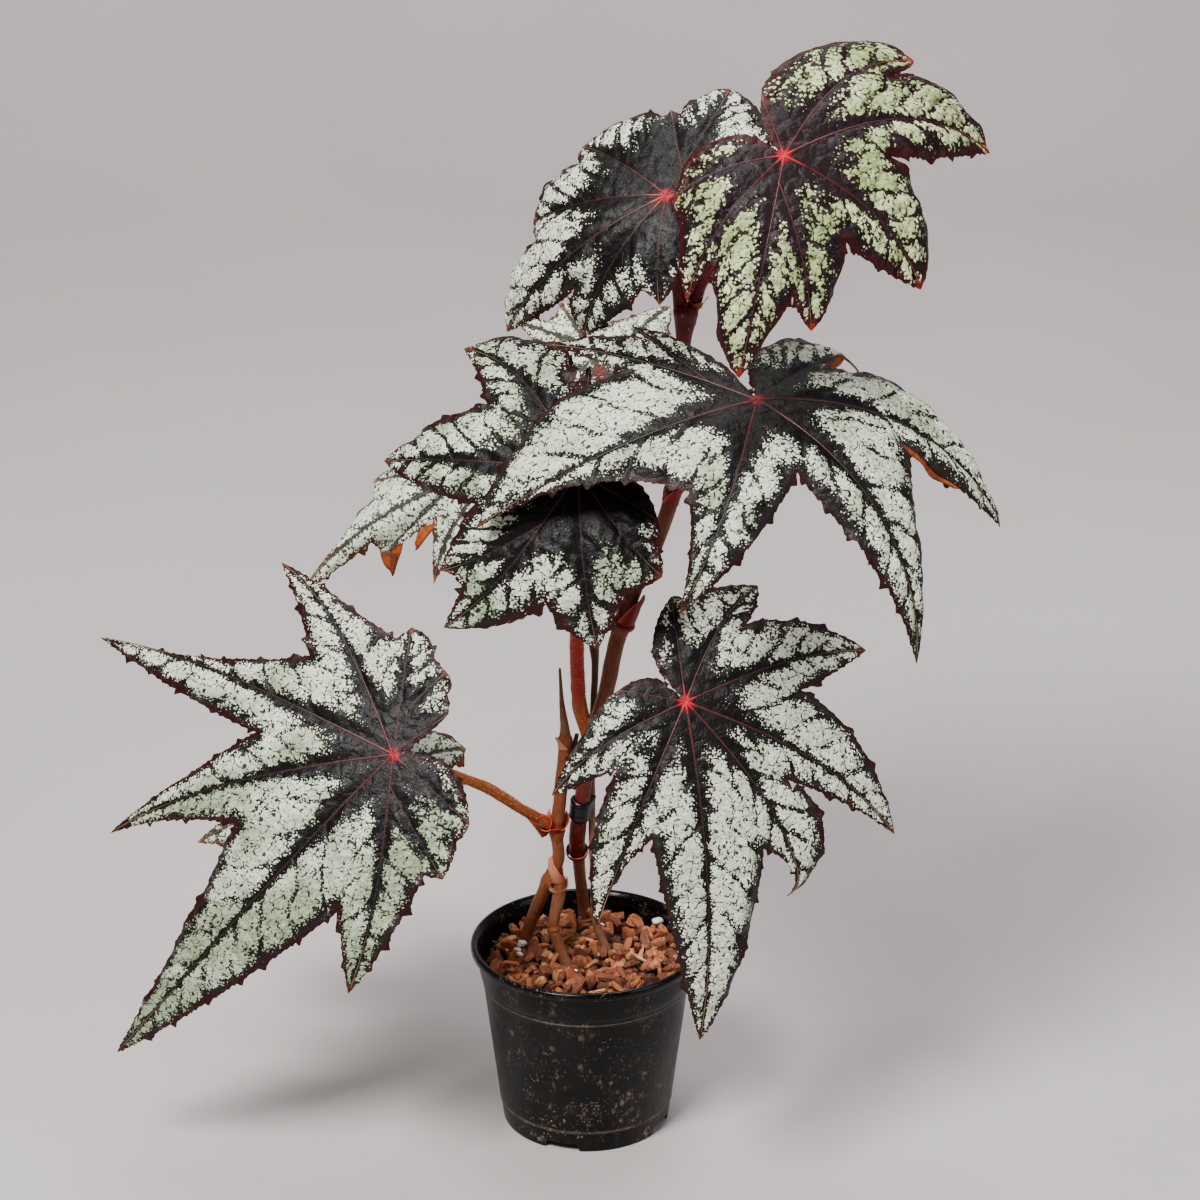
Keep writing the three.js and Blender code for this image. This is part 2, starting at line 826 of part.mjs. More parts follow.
for (const [place, leaf] of Object.entries(plants)) {
  const blade = new THREE.Mesh(bladeGeometry(leaf.corners), paint(leaf.colour, 0.5));
  blade.name = "blade_" + place;
  blade.position.set(...leaf.hub);
  blade.rotation.set(rad(90 - leaf.tilt), 0, rad(leaf.facing), "ZXY");
  plant.add(blade);

  // The petiole comes up to the hub from behind, square to the blade
  const facing = new THREE.Vector3(0, 0, 1).applyEuler(blade.rotation);
  const behind = (distance) => blade.position.clone().addScaledVector(facing, -distance);
  const radius = leaf.petiole[leaf.petiole.length - 1][3];
  const seat = bladeThickness / 2 + touchGap + 1.15 * radius * slopeAtHub(leaf.corners);
  const rows = [
    ...leaf.petiole,
    [...behind(9).toArray(), radius],
    [...behind(seat).toArray(), radius * 1.15],
  ];
  const petiole = solidOf(stem(rows)).subtract(cuts[carriedBy[place]]);
  addSolid("petiole_" + place, petiole, paint(0x8a3d26, 0.6));
}

// The outer group stands the plant on the floor with its footprint round the origin
const box = new THREE.Box3().setFromObject(plant, true);
const centre = box.getCenter(new THREE.Vector3());
plant.position.set(-centre.x, -centre.y, -box.min.z);
const begonia = new THREE.Group();
begonia.add(plant);

export default begonia;
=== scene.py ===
import math

import bpy
import numpy as np
from mathutils.geometry import delaunay_2d_cdt
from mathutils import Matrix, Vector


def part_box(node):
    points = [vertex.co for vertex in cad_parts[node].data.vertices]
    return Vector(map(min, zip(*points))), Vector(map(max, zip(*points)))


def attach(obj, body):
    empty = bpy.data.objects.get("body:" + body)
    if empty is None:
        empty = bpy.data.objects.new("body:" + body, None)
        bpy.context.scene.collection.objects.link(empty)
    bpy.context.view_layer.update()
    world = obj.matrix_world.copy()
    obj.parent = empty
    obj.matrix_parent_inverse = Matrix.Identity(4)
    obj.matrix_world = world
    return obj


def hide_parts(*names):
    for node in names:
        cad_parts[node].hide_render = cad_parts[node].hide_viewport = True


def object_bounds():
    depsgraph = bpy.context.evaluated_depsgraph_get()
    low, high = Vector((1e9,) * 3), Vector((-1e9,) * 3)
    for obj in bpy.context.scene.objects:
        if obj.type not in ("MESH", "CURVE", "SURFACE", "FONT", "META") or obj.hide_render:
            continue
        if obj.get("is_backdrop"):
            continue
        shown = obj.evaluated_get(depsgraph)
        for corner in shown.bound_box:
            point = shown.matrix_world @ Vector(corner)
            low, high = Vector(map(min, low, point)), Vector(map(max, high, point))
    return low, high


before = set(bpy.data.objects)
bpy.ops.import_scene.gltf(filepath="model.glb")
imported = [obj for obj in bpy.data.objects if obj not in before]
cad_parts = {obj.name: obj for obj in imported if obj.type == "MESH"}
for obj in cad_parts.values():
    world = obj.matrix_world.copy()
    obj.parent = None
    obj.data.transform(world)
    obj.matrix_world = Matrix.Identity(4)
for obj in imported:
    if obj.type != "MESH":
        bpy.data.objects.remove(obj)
cadLow, cadHigh = (np.array(corner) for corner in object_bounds())
mm = 0.001
potLow, potHigh = (np.array(corner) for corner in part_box("pot"))
home = np.array([*(potLow[:2] + potHigh[:2]) / 2, potLow[2]])


# Camera, floor and light

view = {
    "eye": (7.3, -1950, 1136.6),
    "pitch": 23.4,  # degrees below the horizon
    "lens": 127.5,
    "floor": (0.445, 0.415, 0.405),
    "backdropDistance": 1500,
    "world": (0.80, 0.81, 0.83),
    "worldStrength": 0.25,
}


def toWorld(points):
    return home + np.asarray(points) * mm


def newObject(name, data):
    made = bpy.data.objects.new(name, data)
    bpy.context.scene.collection.objects.link(made)
    return made


def makeCamera():
    data = bpy.data.cameras.new("camera")
    data.lens = view["lens"]
    data.sensor_width = 36
    data.clip_end = 50
    camera = newObject("camera", data)
    camera.location = toWorld(view["eye"])
    camera.rotation_euler = (math.radians(90 - view["pitch"]), 0, 0)
    bpy.context.scene.camera = camera


def makeLight(name, spot, target, size, power, colour):
    data = bpy.data.lights.new(name, "AREA")
    data.shape = "DISK"
    data.size = size
    data.energy = power
    data.color = colour
    light = newObject(name, data)
    light.location = toWorld(spot)
    x, y, z = np.subtract(target, spot)
    light.rotation_euler = (math.atan2(math.hypot(x, y), -z), 0, math.atan2(-x, y))


makeCamera()
print("camera set")


# Shader helpers: a new node goes into the tree of the sockets that feed it

def fill(node, inputs):
    # the node's inputs are either linked to sockets or set to plain values
    for key, value in inputs.items():
        if isinstance(value, bpy.types.NodeSocket):
            node.id_data.links.new(value, node.inputs[key])
        else:
            node.inputs[key].default_value = value
    return node.outputs


def put(kind, inputs, **settings):
    tree = next(each.id_data for each in inputs.values() if isinstance(each, bpy.types.NodeSocket))
    node = tree.nodes.new("ShaderNode" + kind)
    for key, value in settings.items():
        setattr(node, key, value)
    return fill(node, inputs)


def calc(operation, a, b=0.0):
    return put("Math", {0: a, 1: b}, operation=operation)[0]


def plus(a, b):
    return calc("ADD", a, b)


def minus(a, b):
    return calc("SUBTRACT", a, b)


def times(a, b):
    return calc("MULTIPLY", a, b)


def larger(a, b):
    return calc("MAXIMUM", a, b)


def ramp(value, low, high, atLow=0.0, atHigh=1.0):
    # smooth step from atLow to atHigh while value goes from low to high
    inputs = {0: value, 1: low, 2: high, 3: atLow, 4: atHigh}
    return put("MapRange", inputs, interpolation_type="SMOOTHSTEP")[0]


def blend(mask, a, b):
    a, b = ((*each, 1.0) if isinstance(each, tuple) else each for each in (a, b))
    return put("Mix", {0: mask, 6: a, 7: b}, data_type="RGBA")[2]


def noise(vector, scale, detail=2.0, rough=0.5):
    return put("TexNoise", {"Vector": vector, "Scale": scale, "Detail": detail, "Roughness": rough})[0]


def stretched(vector, factors):
    # the vector with each axis multiplied by its own factor
    return put("VectorMath", {0: vector, 1: factors}, operation="MULTIPLY")[0]


def drifted(spot, scale, detail, reach):
    # the place pushed sideways by a share of reach that changes softly from place to place
    drift = put("TexNoise", {"Vector": spot, "Scale": scale, "Detail": detail})["Color"]
    return put("VectorMath", {0: spot, 1: stretched(drift, (reach, reach, 0))}, operation="ADD")[0]


def parts(vector):
    return put("SeparateXYZ", {0: vector})


def attribute(tree, name):
    node = tree.nodes.new("ShaderNodeAttribute")
    node.attribute_name = name
    return node.outputs["Vector"]


def objectSpot(tree):
    return tree.nodes.new("ShaderNodeTexCoord").outputs["Object"]


def shaderGroup(name, inputs, outputs):
    # an empty group whose inputs are vectors (None) or numbers (their default), and its ends
    tree = bpy.data.node_groups.new(name, "ShaderNodeTree")
    for label, value in inputs.items():
        kind = "NodeSocketVector" if value is None else "NodeSocketFloat"
        made = tree.interface.new_socket(label, in_out="INPUT", socket_type=kind)
        if value is not None:
            made.default_value = value
    for label in outputs:
        tree.interface.new_socket(label, in_out="OUTPUT", socket_type="NodeSocketFloat")
    return tree, tree.nodes.new("NodeGroupInput").outputs, tree.nodes.new("NodeGroupOutput")


def useGroup(group, inputs):
    return put("Group", inputs, node_tree=group)


def newMaterial(name):
    material = bpy.data.materials.new(name)
    material.use_nodes = True
    return material, material.node_tree


def finishMaterial(material, colour, rough, gloss=0.5, height=None, depth=None):
    # the skin's colour, roughness and gloss, and its bumps, which are depth metres high
    inputs = {"Base Color": colour, "Roughness": rough, "Specular IOR Level": gloss}
    if height is not None:
        inputs["Normal"] = put("Bump", {"Height": height, "Distance": depth, "Strength": 1.0})["Normal"]
    fill(material.node_tree.nodes["Principled BSDF"], inputs)
    return material


def makeSpecks():
    # round specks on a share of the cells of a Voronoi pattern, each of its own size
    tree, given, end = shaderGroup("specks", {"Place": None, "Scale": 300.0, "Share": 0.3, "Size": 0.3},
                                   ["Mask"])
    cells = put("TexVoronoi", {"Vector": given["Place"], "Scale": given["Scale"]})
    chance, luck, _ = parts(cells["Color"])
    edge = minus(times(given["Size"], ramp(luck, 0, 1, 0.35)), cells["Distance"])
    fill(end, {"Mask": times(ramp(edge, 0.0, 0.12), calc("LESS_THAN", chance, given["Share"]))})
    return tree


def makeCells():
    # silver blisters: cells that shrink to dots and vanish as the cover falls from 1 to 0
    tree, given, end = shaderGroup("silverCells", {"Spot": None, "Cover": 0.5, "Scale": 0.8},
                                   ["Silver", "Dome", "Chance"])
    spot = drifted(given["Spot"], 0.35, 1.0, 1.1)
    cells = put("TexVoronoi", {"Vector": spot, "Scale": given["Scale"]}, voronoi_dimensions="2D")
    chance = parts(cells["Color"])[0]
    wanted = plus(times(given["Cover"], 1.25), times(minus(chance, 0.62), 0.55))
    silver = ramp(minus(times(wanted, 0.74), cells["Distance"]), -0.02, 0.10)
    dome = minus(1.0, times(cells["Distance"], 1.2))
    fill(end, {"Silver": silver, "Dome": dome, "Chance": chance})
    return tree


specks = makeSpecks()
silverCells = makeCells()


def speckle(spot, scale, share, size):
    return useGroup(specks, {"Place": spot, "Scale": scale, "Share": share, "Size": size})["Mask"]


# Mesh helpers

def unit(vectors):
    return vectors / np.linalg.norm(vectors, axis=-1, keepdims=True)


def runAlong(line):
    # distance from the line's start to each of its points
    return np.concatenate([[0], np.cumsum(np.linalg.norm(np.diff(line, axis=0), axis=1))])


def turnMatrices(angles):
    # rotations by three angles for each of many pieces, about x, then y, then z
    cx, cy, cz = np.cos(angles).T
    sx, sy, sz = np.sin(angles).T
    zero, one = np.zeros_like(cx), np.ones_like(cx)
    x = np.stack([one, zero, zero, zero, cx, -sx, zero, sx, cx], -1).reshape(-1, 3, 3)
    y = np.stack([cy, zero, sy, zero, one, zero, -sy, zero, cy], -1).reshape(-1, 3, 3)
    z = np.stack([cz, -sz, zero, sz, cz, zero, zero, zero, one], -1).reshape(-1, 3, 3)
    return z @ y @ x


def addMesh(name, points, faces, material, slot, replaced=(), smooth=True, sharp=None,
            vectors=None, uv=None):
    # points in millimetres, faces as a list of arrays of three or four columns
    mesh = bpy.data.meshes.new(name)
    corners = np.concatenate([each.ravel() for each in faces]).astype(np.int32)
    sizes = np.concatenate([np.full(len(each), each.shape[1]) for each in faces])
    mesh.vertices.add(len(points))
    mesh.vertices.foreach_set("co", toWorld(points).astype(np.float32).ravel())
    mesh.loops.add(len(corners))
    mesh.loops.foreach_set("vertex_index", corners)
    mesh.polygons.add(len(sizes))
    mesh.polygons.foreach_set("loop_start", (np.cumsum(sizes) - sizes).astype(np.int32))
    mesh.update(calc_edges=True)
    mesh.validate()
    mesh.polygons.foreach_set("use_smooth", np.full(len(mesh.polygons), smooth))
    for label, values in (vectors or {}).items():
        layer = mesh.attributes.new(label, "FLOAT_VECTOR", "POINT")
        layer.data.foreach_set("vector", values.astype(np.float32).ravel())
    if uv is not None:
        layer = mesh.uv_layers.new(name=uv[0])
        layer.uv.foreach_set("vector", uv[1].astype(np.float32).ravel())
    if sharp:
        mesh.set_sharp_from_angle(angle=math.radians(sharp))
    mesh.materials.append(material)
    piece = newObject(name, mesh)
    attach(piece, "root")
    if replaced:
        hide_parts(*replaced)


def gridFaces(rows, columns, wrapped=False, closed=False):
    # quads of a grid of rows x columns points; a wrapped grid joins its last column to its
    # first, and a closed one also its last row to its first
    i = np.arange(rows if closed else rows - 1)[:, None]
    j = np.arange(columns if wrapped else columns - 1)[None, :]
    after, k = (i + 1) % rows, (j + 1) % columns
    quad = [i * columns + j, i * columns + k, after * columns + k, after * columns + j]
    return np.stack(quad, -1).reshape(-1, 4)


def mergeMeshes(meshes):
    # several (points, quads, triangles) as the points and faces of one mesh
    spots, quads, tris = zip(*meshes)
    base = np.cumsum([0, *map(len, spots)])
    quads = np.concatenate([each + start for each, start in zip(quads, base)])
    tris = np.concatenate([each + start for each, start in zip(tris, base)])
    return np.concatenate(spots), [quads, tris]


noTriangles = np.zeros((0, 3), int)
noQuads = np.zeros((0, 4), int)


def closedSheet(front, back):
    # two faces of a thin sheet, each given as rows by columns points, and the rim between them
    rows, columns = front.shape[:2]
    quads = gridFaces(rows, columns)
    count = rows * columns
    across, down = np.arange(columns - 1), columns * np.arange(rows - 1)
    edges = np.concatenate([across, columns - 1 + down, count - 1 - across, count - columns - down])
    after = np.roll(edges, -1)
    rim = np.stack([edges, edges + count, after + count, after], -1)
    points = np.concatenate([front, back]).reshape(-1, 3)
    return points, np.vstack([quads, quads[:, ::-1] + count, rim]), noTriangles


def smoothLine(rows, count):
    # centripetal Catmull-Rom line through the rows, every column interpolated alike;
    # the first three columns are places, and points are spaced evenly by length
    rows = np.array(rows, float)
    ends = np.vstack([2 * rows[0] - rows[1], rows, 2 * rows[-1] - rows[-2]])
    knots = np.concatenate([[0], np.cumsum(np.sqrt(np.diff(runAlong(ends[:, :3]))))])
    t = np.linspace(knots[1], knots[-2], count * 8)
    k = np.clip(np.searchsorted(knots, t, side="right") - 1, 1, len(rows) - 1)
    k0, k1, k2, k3 = (knots[k + shift][:, None] for shift in (-1, 0, 1, 2))
    p0, p1, p2, p3 = (ends[k + shift] for shift in (-1, 0, 1, 2))
    t = t[:, None]
    a1 = (k1 - t) / (k1 - k0) * p0 + (t - k0) / (k1 - k0) * p1
    a2 = (k2 - t) / (k2 - k1) * p1 + (t - k1) / (k2 - k1) * p2
    a3 = (k3 - t) / (k3 - k2) * p2 + (t - k2) / (k3 - k2) * p3
    b1 = (k2 - t) / (k2 - k0) * a1 + (t - k0) / (k2 - k0) * a2
    b2 = (k3 - t) / (k3 - k1) * a2 + (t - k1) / (k3 - k1) * a3
    line = (k2 - t) / (k2 - k1) * b1 + (t - k1) / (k2 - k1) * b2
    run = runAlong(line[:, :3])
    even = np.linspace(0, run[-1], count)
    return np.stack([np.interp(even, run, column) for column in line.T], -1), even


def framesAlong(line):
    # unit tangents, and two directions square to them that never twist much
    tangent = unit(np.gradient(line, axis=0))
    guide = np.eye(3)[np.argmin(np.abs(line[-1] - line[0]))]
    side = unit(guide - tangent * (tangent @ guide)[:, None])
    return tangent, side, np.cross(tangent, side)


def around(sides):
    return np.arange(sides) * 2 * np.pi / sides


def closedRings(rings, first, last):
    # rings of points, each a closed loop, with one end point before and one behind them
    count, sides = rings.shape[:2]
    total = count * sides
    j = np.arange(sides)
    k = (j + 1) % sides
    caps = np.vstack([np.stack([np.full(sides, total), k, j], -1),
                      np.stack([np.full(sides, total + 1), total - sides + j, total - sides + k], -1)])
    return np.vstack([rings.reshape(-1, 3), first, last]), gridFaces(count, sides, True), caps


def tube(line, radii):
    # rings of radius radii[ring, side] round a line, closed by a point at either end
    tangent, side, other = framesAlong(line)
    turn = around(radii.shape[1])[None, :, None]
    way = np.cos(turn) * side[:, None] + np.sin(turn) * other[:, None]
    rings = line[:, None] + radii[..., None] * way
    return closedRings(rings, line[0] - tangent[0] * radii[0].mean() * 0.3,
                       line[-1] + tangent[-1] * radii[-1].mean() * 0.3)


def ripples(points, wavelength, seed, count=9):
    # sum of sine waves in random directions, about -1 to 1, for soft unevenness
    rng = np.random.default_rng(seed)
    ways = unit(rng.normal(size=(count, points.shape[-1])))
    lengths = wavelength * rng.uniform(0.7, 1.5, count)
    phases = rng.uniform(0, 2 * np.pi, count)
    waves = np.sin(points @ (ways / lengths[:, None]).T * 2 * np.pi + phases)
    return waves.sum(-1) / math.sqrt(count)


def step(value, low, high):
    # 0 below low, 1 above high, smooth between
    share = np.clip((value - low) / (high - low), 0, 1)
    return share * share * (3 - 2 * share)


# Leaves

def sinus(angle, reach):
    return ("sinus", angle, reach)


def lobe(angle, reach, droop, sweep=0, before=0.08, after=0.08):
    return ("lobe", angle, reach, droop, sweep, before, after)


# Each leaf: hub, facing and tilt in degrees, its outline's corners counter-clockwise, and the
# stalk's rows x, y, z, radius. forks: lobe angle -> where its vein leaves another one. curls:
# lobe angle -> degrees that its last part rolls, and hook. ink: strength of the side veins; arm
# and star: width and size of the dark star; blush and rim: width of the red and the dark
# margin; roll: degrees that the margin bends; sage: grey-green at the hub, and its change for
# each millimetre to the right and up, which is painted shade: the silver turns greener where
# the blade faces away from the light.
leaves = {
    "top": {
        "hub": (93, -50, 540), "facing": 12, "tilt": 42, "look": "young",
        "ink": 0.8, "arm": 1, "blush": 0.6, "star": 0.95, "rim": 1.45, "roll": 34, "sage": (0.45, 0, 0),
        "corners": [
            sinus(138, 4), lobe(183, 56, 35, 9, .6, .06), sinus(195.5, 57),
            lobe(218, 84, 48, 11, .07, -.1), sinus(226, 63), lobe(252, 108, 42, 1, .26, .05),
            sinus(269, 67), lobe(278, 84, 34, -4, .11, .19), sinus(303, 50),
            lobe(328, 93, 36, -12, .18, .38), sinus(4.5, 56), lobe(23, 125, 42, -16, .22, .6),
            sinus(46.5, 79), lobe(53, 96, 24, -18, .21, .6), sinus(74, 74),
            lobe(99, 33, 15, 0, .18, .18), sinus(126, 4)],
        "forks": {278: (252, 14)},
        "stalk": [(50, 0, 440, 3), (53.6, -.3, 451, 3), (57, -.8, 461, 2.8), (63.5, -3, 471, 2.8),
                  (73, -12, 487, 2.8), (85, -30, 516, 2.6)],
    },
    "crown": {
        "hub": (39, -8, 507), "facing": -12, "tilt": 46, "look": "mature",
        "ink": 0.85, "arm": 1, "blush": 0.25, "star": 1.35, "rim": 1.0, "roll": 36, "sage": (-0.2, 0, 0),
        "corners": [
            sinus(325, 4), lobe(32, 68, 20, 0, .54, .51), sinus(47.5, 63),
            lobe(70, 70, 18, 3, .28, .39), sinus(90.5, 49), lobe(97, 52, 18, 0, -.1, -.3),
            sinus(102, 48), lobe(144, 68, 43, 0, .41, .08), sinus(153, 61),
            lobe(182, 81, 52, 0, .55, -.3), sinus(190, 79), lobe(212, 117, 64, 0, .47, .13),
            sinus(224, 64), lobe(234, 89, 73, 0, .34, .15), sinus(258.5, 48),
            lobe(268, 54, 36, 4, -.3, .5), sinus(315, 4)],
        "forks": {97: (70, 16)},
        "stalk": [(47.4, 0, 440, 3), (46, .3, 451, 3.5), (44.4, -.4, 463, 2.9), (43, -1, 472, 2.8),
                  (40.5, -5, 491, 2.7)],
    },
    "right": {
        "hub": (82, -60, 422), "facing": 4, "tilt": 68, "look": "mature",
        "ink": 0.85, "arm": 1.0, "blush": 0.05, "star": 1.05, "rim": 1.1, "roll": 26, "sage": (0.1, 0, 0),
        "corners": [
            sinus(112, 4), lobe(133, 81, 6, 0, .21, -.02), sinus(135, 68),
            lobe(147, 112, 10, 4, .11, 0), sinus(154.5, 66), lobe(195, 151, 45, -5, .32, -.19),
            sinus(234.5, 61), lobe(254, 117, 55, -9, -.02, .09), sinus(291, 46),
            lobe(318, 154, 65, -13, .11, -.11), sinus(354, 76), lobe(4, 146, 58, -14, .23, .35),
            sinus(37, 43), lobe(44, 73, 24, 0, -.1, .75), sinus(100, 4)],
        "forks": {133: (147, 26)},
        "curls": {44: (85, -12)},
        "stalk": [(41.8, -.2, 347, 3), (42.8, -1, 355, 3.4), (50, -9, 375, 2.8), (66, -33, 397, 2.7),
                  (78, -52, 409, 2.6)],
    },
    "centre": {
        "hub": (-3, -52, 382), "facing": -6, "tilt": 40, "look": "mature",
        "ink": 1, "arm": 0.9, "blush": 0.6, "star": 1.45, "rim": 1.0, "roll": 30, "sage": (0.25, 0, 0),
        "corners": [
            sinus(58, 4), lobe(89, 58, 15), sinus(97, 44), lobe(118, 102, 34, 14, .5, .03),
            sinus(139, 63), lobe(173, 110, 40, -1, .15, .14), sinus(197.5, 54),
            lobe(224, 85, 34, -10, .13, -.4), sinus(231.5, 80), lobe(239, 105, 45, -12, .04, .12),
            sinus(259.5, 66), lobe(275, 87, 36, 4, .13, .03), sinus(290.5, 63),
            lobe(306, 65, 20, 6, .07, .16), sinus(318, 50), lobe(332, 45, 15, 0, .28, .43),
            sinus(42, 4)],
        "forks": {224: (239, 30)},
        "stalk": [(3, 0, 218, 4), (-2, -2, 231, 3.8), (-3.9, -12, 258, 3.6), (-4.1, -24, 292, 3.5),
                  (-3.8, -34, 332, 3.2), (-3.2, -40, 362, 3)],
    },
    "back_left": {
        "hub": (-42, 85, 333), "facing": -18, "tilt": 48, "look": "pale",
        "ink": 0.5, "arm": 0.8, "blush": 0.2, "star": 0.5, "rim": 0.6, "roll": 24, "sage": (-0.2, 0, 0),
        "corners": [
            sinus(16, 4), lobe(66, 36, 15, 0, .5, .08), sinus(81.5, 27), lobe(109, 44, 20),
            sinus(136.5, 31), lobe(159, 46, 24), sinus(176.5, 46), lobe(188, 79, 30, 0, .15, -.3),
            sinus(193, 77), lobe(208, 132, 24, 10, -.2, .1), sinus(213, 82),
            lobe(221, 84, 34, 0, -.3, .02), sinus(225, 45), lobe(238, 74, 40, 7, -.04, .04),
            sinus(252.5, 34), lobe(291, 69, 45, 0, .11, .08), sinus(312, 43),
            lobe(329, 61, 30, 0, .08, .5), sinus(8, 4)],
        "forks": {221: (208, 20), 188: (208, 14)},
        "stalk": [(3.4, 21, 261, 1.7), (-2, 46, 265, 1.7), (-18, 80, 280, 1.7), (-35, 96, 306, 1.7)],
    },
    "back": {
        "hub": (7, 120, 370), "facing": 4, "tilt": 50, "look": "pale",
        "ink": 0.5, "arm": 0.8, "blush": 0.2, "star": 0.5, "rim": 0.5, "roll": 20, "sage": (-0.3, 0, 0),
        "corners": [
            sinus(285, 4), lobe(341, 36, 20, 0, .5, .08), sinus(10, 30), lobe(24, 56, 26),
            sinus(29, 34), lobe(50, 66, 30, 0, .22, .04), sinus(88, 27),
            lobe(110, 55, 28, 0, .27, -.3), sinus(126, 44), lobe(136, 58, 30, 0, .3, .08),
            sinus(146, 34), lobe(166, 52, 28), sinus(191.5, 24), lobe(215, 31, 28, 0, .08, .5),
            sinus(265, 4)],
        "forks": {24: (50, 12), 136: (110, 14)},
        "stalk": [(2.2, 27, 279, 1.5), (2.3, 31.5, 285.2, 1.7), (3, 70, 302, 1.7), (5, 112, 336, 1.7)],
    },
    "lower_left": {
        "hub": (-95, -50, 231), "facing": -14, "tilt": 34, "look": "mature",
        "ink": 0.75, "arm": 0.85, "blush": 0.55, "star": 1.0, "rim": 0.9, "roll": 16,
        # its sage grows towards the lower part of the blade: painted shade
        "sage": (0.15, 0, -0.006),
        "corners": [
            sinus(20, 4), lobe(44, 34, 8), sinus(56, 40), lobe(66, 49, 8, 0, .35, -.12),
            sinus(76, 53), lobe(91, 66, 12, 1, .33, -.13), sinus(97.5, 60),
            lobe(120, 127, 22, 10, -.08, .02), sinus(137, 71), lobe(160, 197, 32, 4, -.17, .08),
            sinus(175.5, 75), lobe(193, 170, 30, 5, -.03, -.06), sinus(207, 91),
            lobe(231, 230, 38, -3, -.03, .03), sinus(258, 83), lobe(272, 121, 18, -7, .04, .02),
            sinus(292.5, 62), lobe(299, 67, 12, 0, -.01, .11), sinus(313.5, 54),
            lobe(325, 52, 10, 0, .14, .5), sinus(10, 4)],
        "forks": {66: (91, 18), 299: (272, 16)},
        "stalk": [(-15.5, 4.4, 163, 2.8), (-22, 1.5, 169, 2.8), (-33, -5, 179, 2.7), (-52, -18, 198, 2.6),
                  (-76, -34, 216, 2.5)],
    },
    "lower_right": {
        "hub": (49, -70, 269), "facing": 6, "tilt": 32, "look": "mature",
        "ink": 0.8, "arm": 0.8, "blush": 0.2, "star": 1.0, "rim": 0.95, "roll": 20, "sage": (-0.1, 0, 0),
        "corners": [
            sinus(136, 4), lobe(167, 33, 8, 0, .5, .03), sinus(176, 40), lobe(202, 80, 16, 10, -.03, .09),
            sinus(220, 47), lobe(244, 120, 24, 2, .18, -.17), sinus(253.5, 69),
            lobe(276, 172, 34, -5, .08, .1), sinus(300, 82), lobe(310, 115, 25, -10, -.21, .46),
            sinus(323.5, 63), lobe(337, 127, 26, -10, .02, .15), sinus(6.5, 58),
            lobe(22, 96, 14, -8, .11, .19), sinus(53.5, 50), lobe(66, 70, 12, -11, .19, .11),
            sinus(88, 51), lobe(94, 53, 10, 0, .42, .45), sinus(126, 4)],
        "forks": {},
        "curls": {310: (62, -3)},
        "stalk": [(7.4, -.6, 225, 2.7), (14, -12, 232, 2.6), (28, -34, 246, 2.5), (43, -56, 259, 2.4)],
    },
    "hidden_left": {
        "hub": (-120, 40, 171), "facing": -10, "tilt": 44, "look": "pale",
        "ink": 0.6, "arm": 0.8, "blush": 0.3, "star": 0.6, "rim": 0.7, "roll": 24, "sage": (0.3, 0, 0),
        "corners": [
            sinus(305, 4), lobe(355, 40, 20, 0, .4, .08), sinus(12.5, 31),
            lobe(35, 65, 40, -4, .33, .4), sinus(59, 36), lobe(83, 53, 25), sinus(105, 29),
            lobe(132, 61, 30), sinus(159.5, 28), lobe(172, 76, 35), sinus(190, 38),
            lobe(198, 100, 40), sinus(221, 44), lobe(239, 64, 35), sinus(251.5, 32),
            lobe(287, 43, 25, 0, .08, .08), sinus(296, 4)],
        "forks": {},
        "stalk": [(-20.5, 10, 157, 2.2), (-32, 16, 168, 2.1), (-56, 28, 178, 2), (-74, 38, 172, 2),
                  (-92, 50, 160, 2), (-110, 54, 157, 1.9)],
    },
}

bladeForm = {
    "thickness": 0.8,
    "grid": 1.45,  # spacing of the points inside the outline
    "marginStep": 0.8,
    "veinStep": 1.2,
    "usualSinus": 65,  # reach of the sinuses of a full-grown leaf, which sets a leaf's scale
    "toothPitch": 4.6,
    "toothDepth": 1.1,
    "spikeGap": (13, 27),  # distance between the larger teeth
    "spikeHeight": (1.6, 3.6),
    "rollShare": 0.36,  # share of the half width that rolls down at the margin, and its limit
    "rollLimit": 12,
    "puff": 2.5,  # how far the blade swells between main veins
    "quilting": 1.2,  # depth of the furrows along side veins
    "wrinkle": 0.20,
    "marginWave": 1.0,
    "sideSpacing": (0.15, 9.5, 24),  # side veins: share of the lobe's reach, least and most
    "sideSlant": 1.15,  # cotangent of the angle of a side vein to its main vein
}


def polar(angle, reach):
    turn = np.radians(angle)
    return np.stack([reach * np.cos(turn), reach * np.sin(turn)], -1)


def readLeaf(leaf):
    # the lobes as arrays sorted by angle, the leaf's own axes, and its main veins' ends
    lobes = [each for each in leaf["corners"] if each[0] == "lobe"]
    order = sorted(lobes, key=lambda each: each[1])
    curls = leaf.get("curls", {})
    rows = [(a, r, math.radians(d) / r, s, math.radians(curls.get(a, (0, 0))[0]),
             curls.get(a, (0, 0))[1]) for _, a, r, d, s, *_ in order]
    leaf["table"] = np.array(rows, float)
    facing, lean = math.radians(leaf["facing"]), math.radians(90 - leaf["tilt"])
    leaf["axes"] = turnMatrices(np.array([[lean, 0, facing]]))[0]
    reach = {each[1]: each[2] for each in lobes}
    leaf["veins"] = np.array([(polar(*leaf["forks"].get(angle, (0, 0))), polar(angle, length))
                              for angle, length in reach.items()])
    leaf["veinReach"] = np.array(list(reach.values()), float)
    leaf["veinTurn"] = np.radians(np.array(list(reach), float))
    leaf["sinuses"] = np.array([each[1:3] for each in leaf["corners"] if each[0] == "sinus"])[1:-1]
    leaf["scale"] = leaf["sinuses"][:, 1].mean() / bladeForm["usualSinus"]


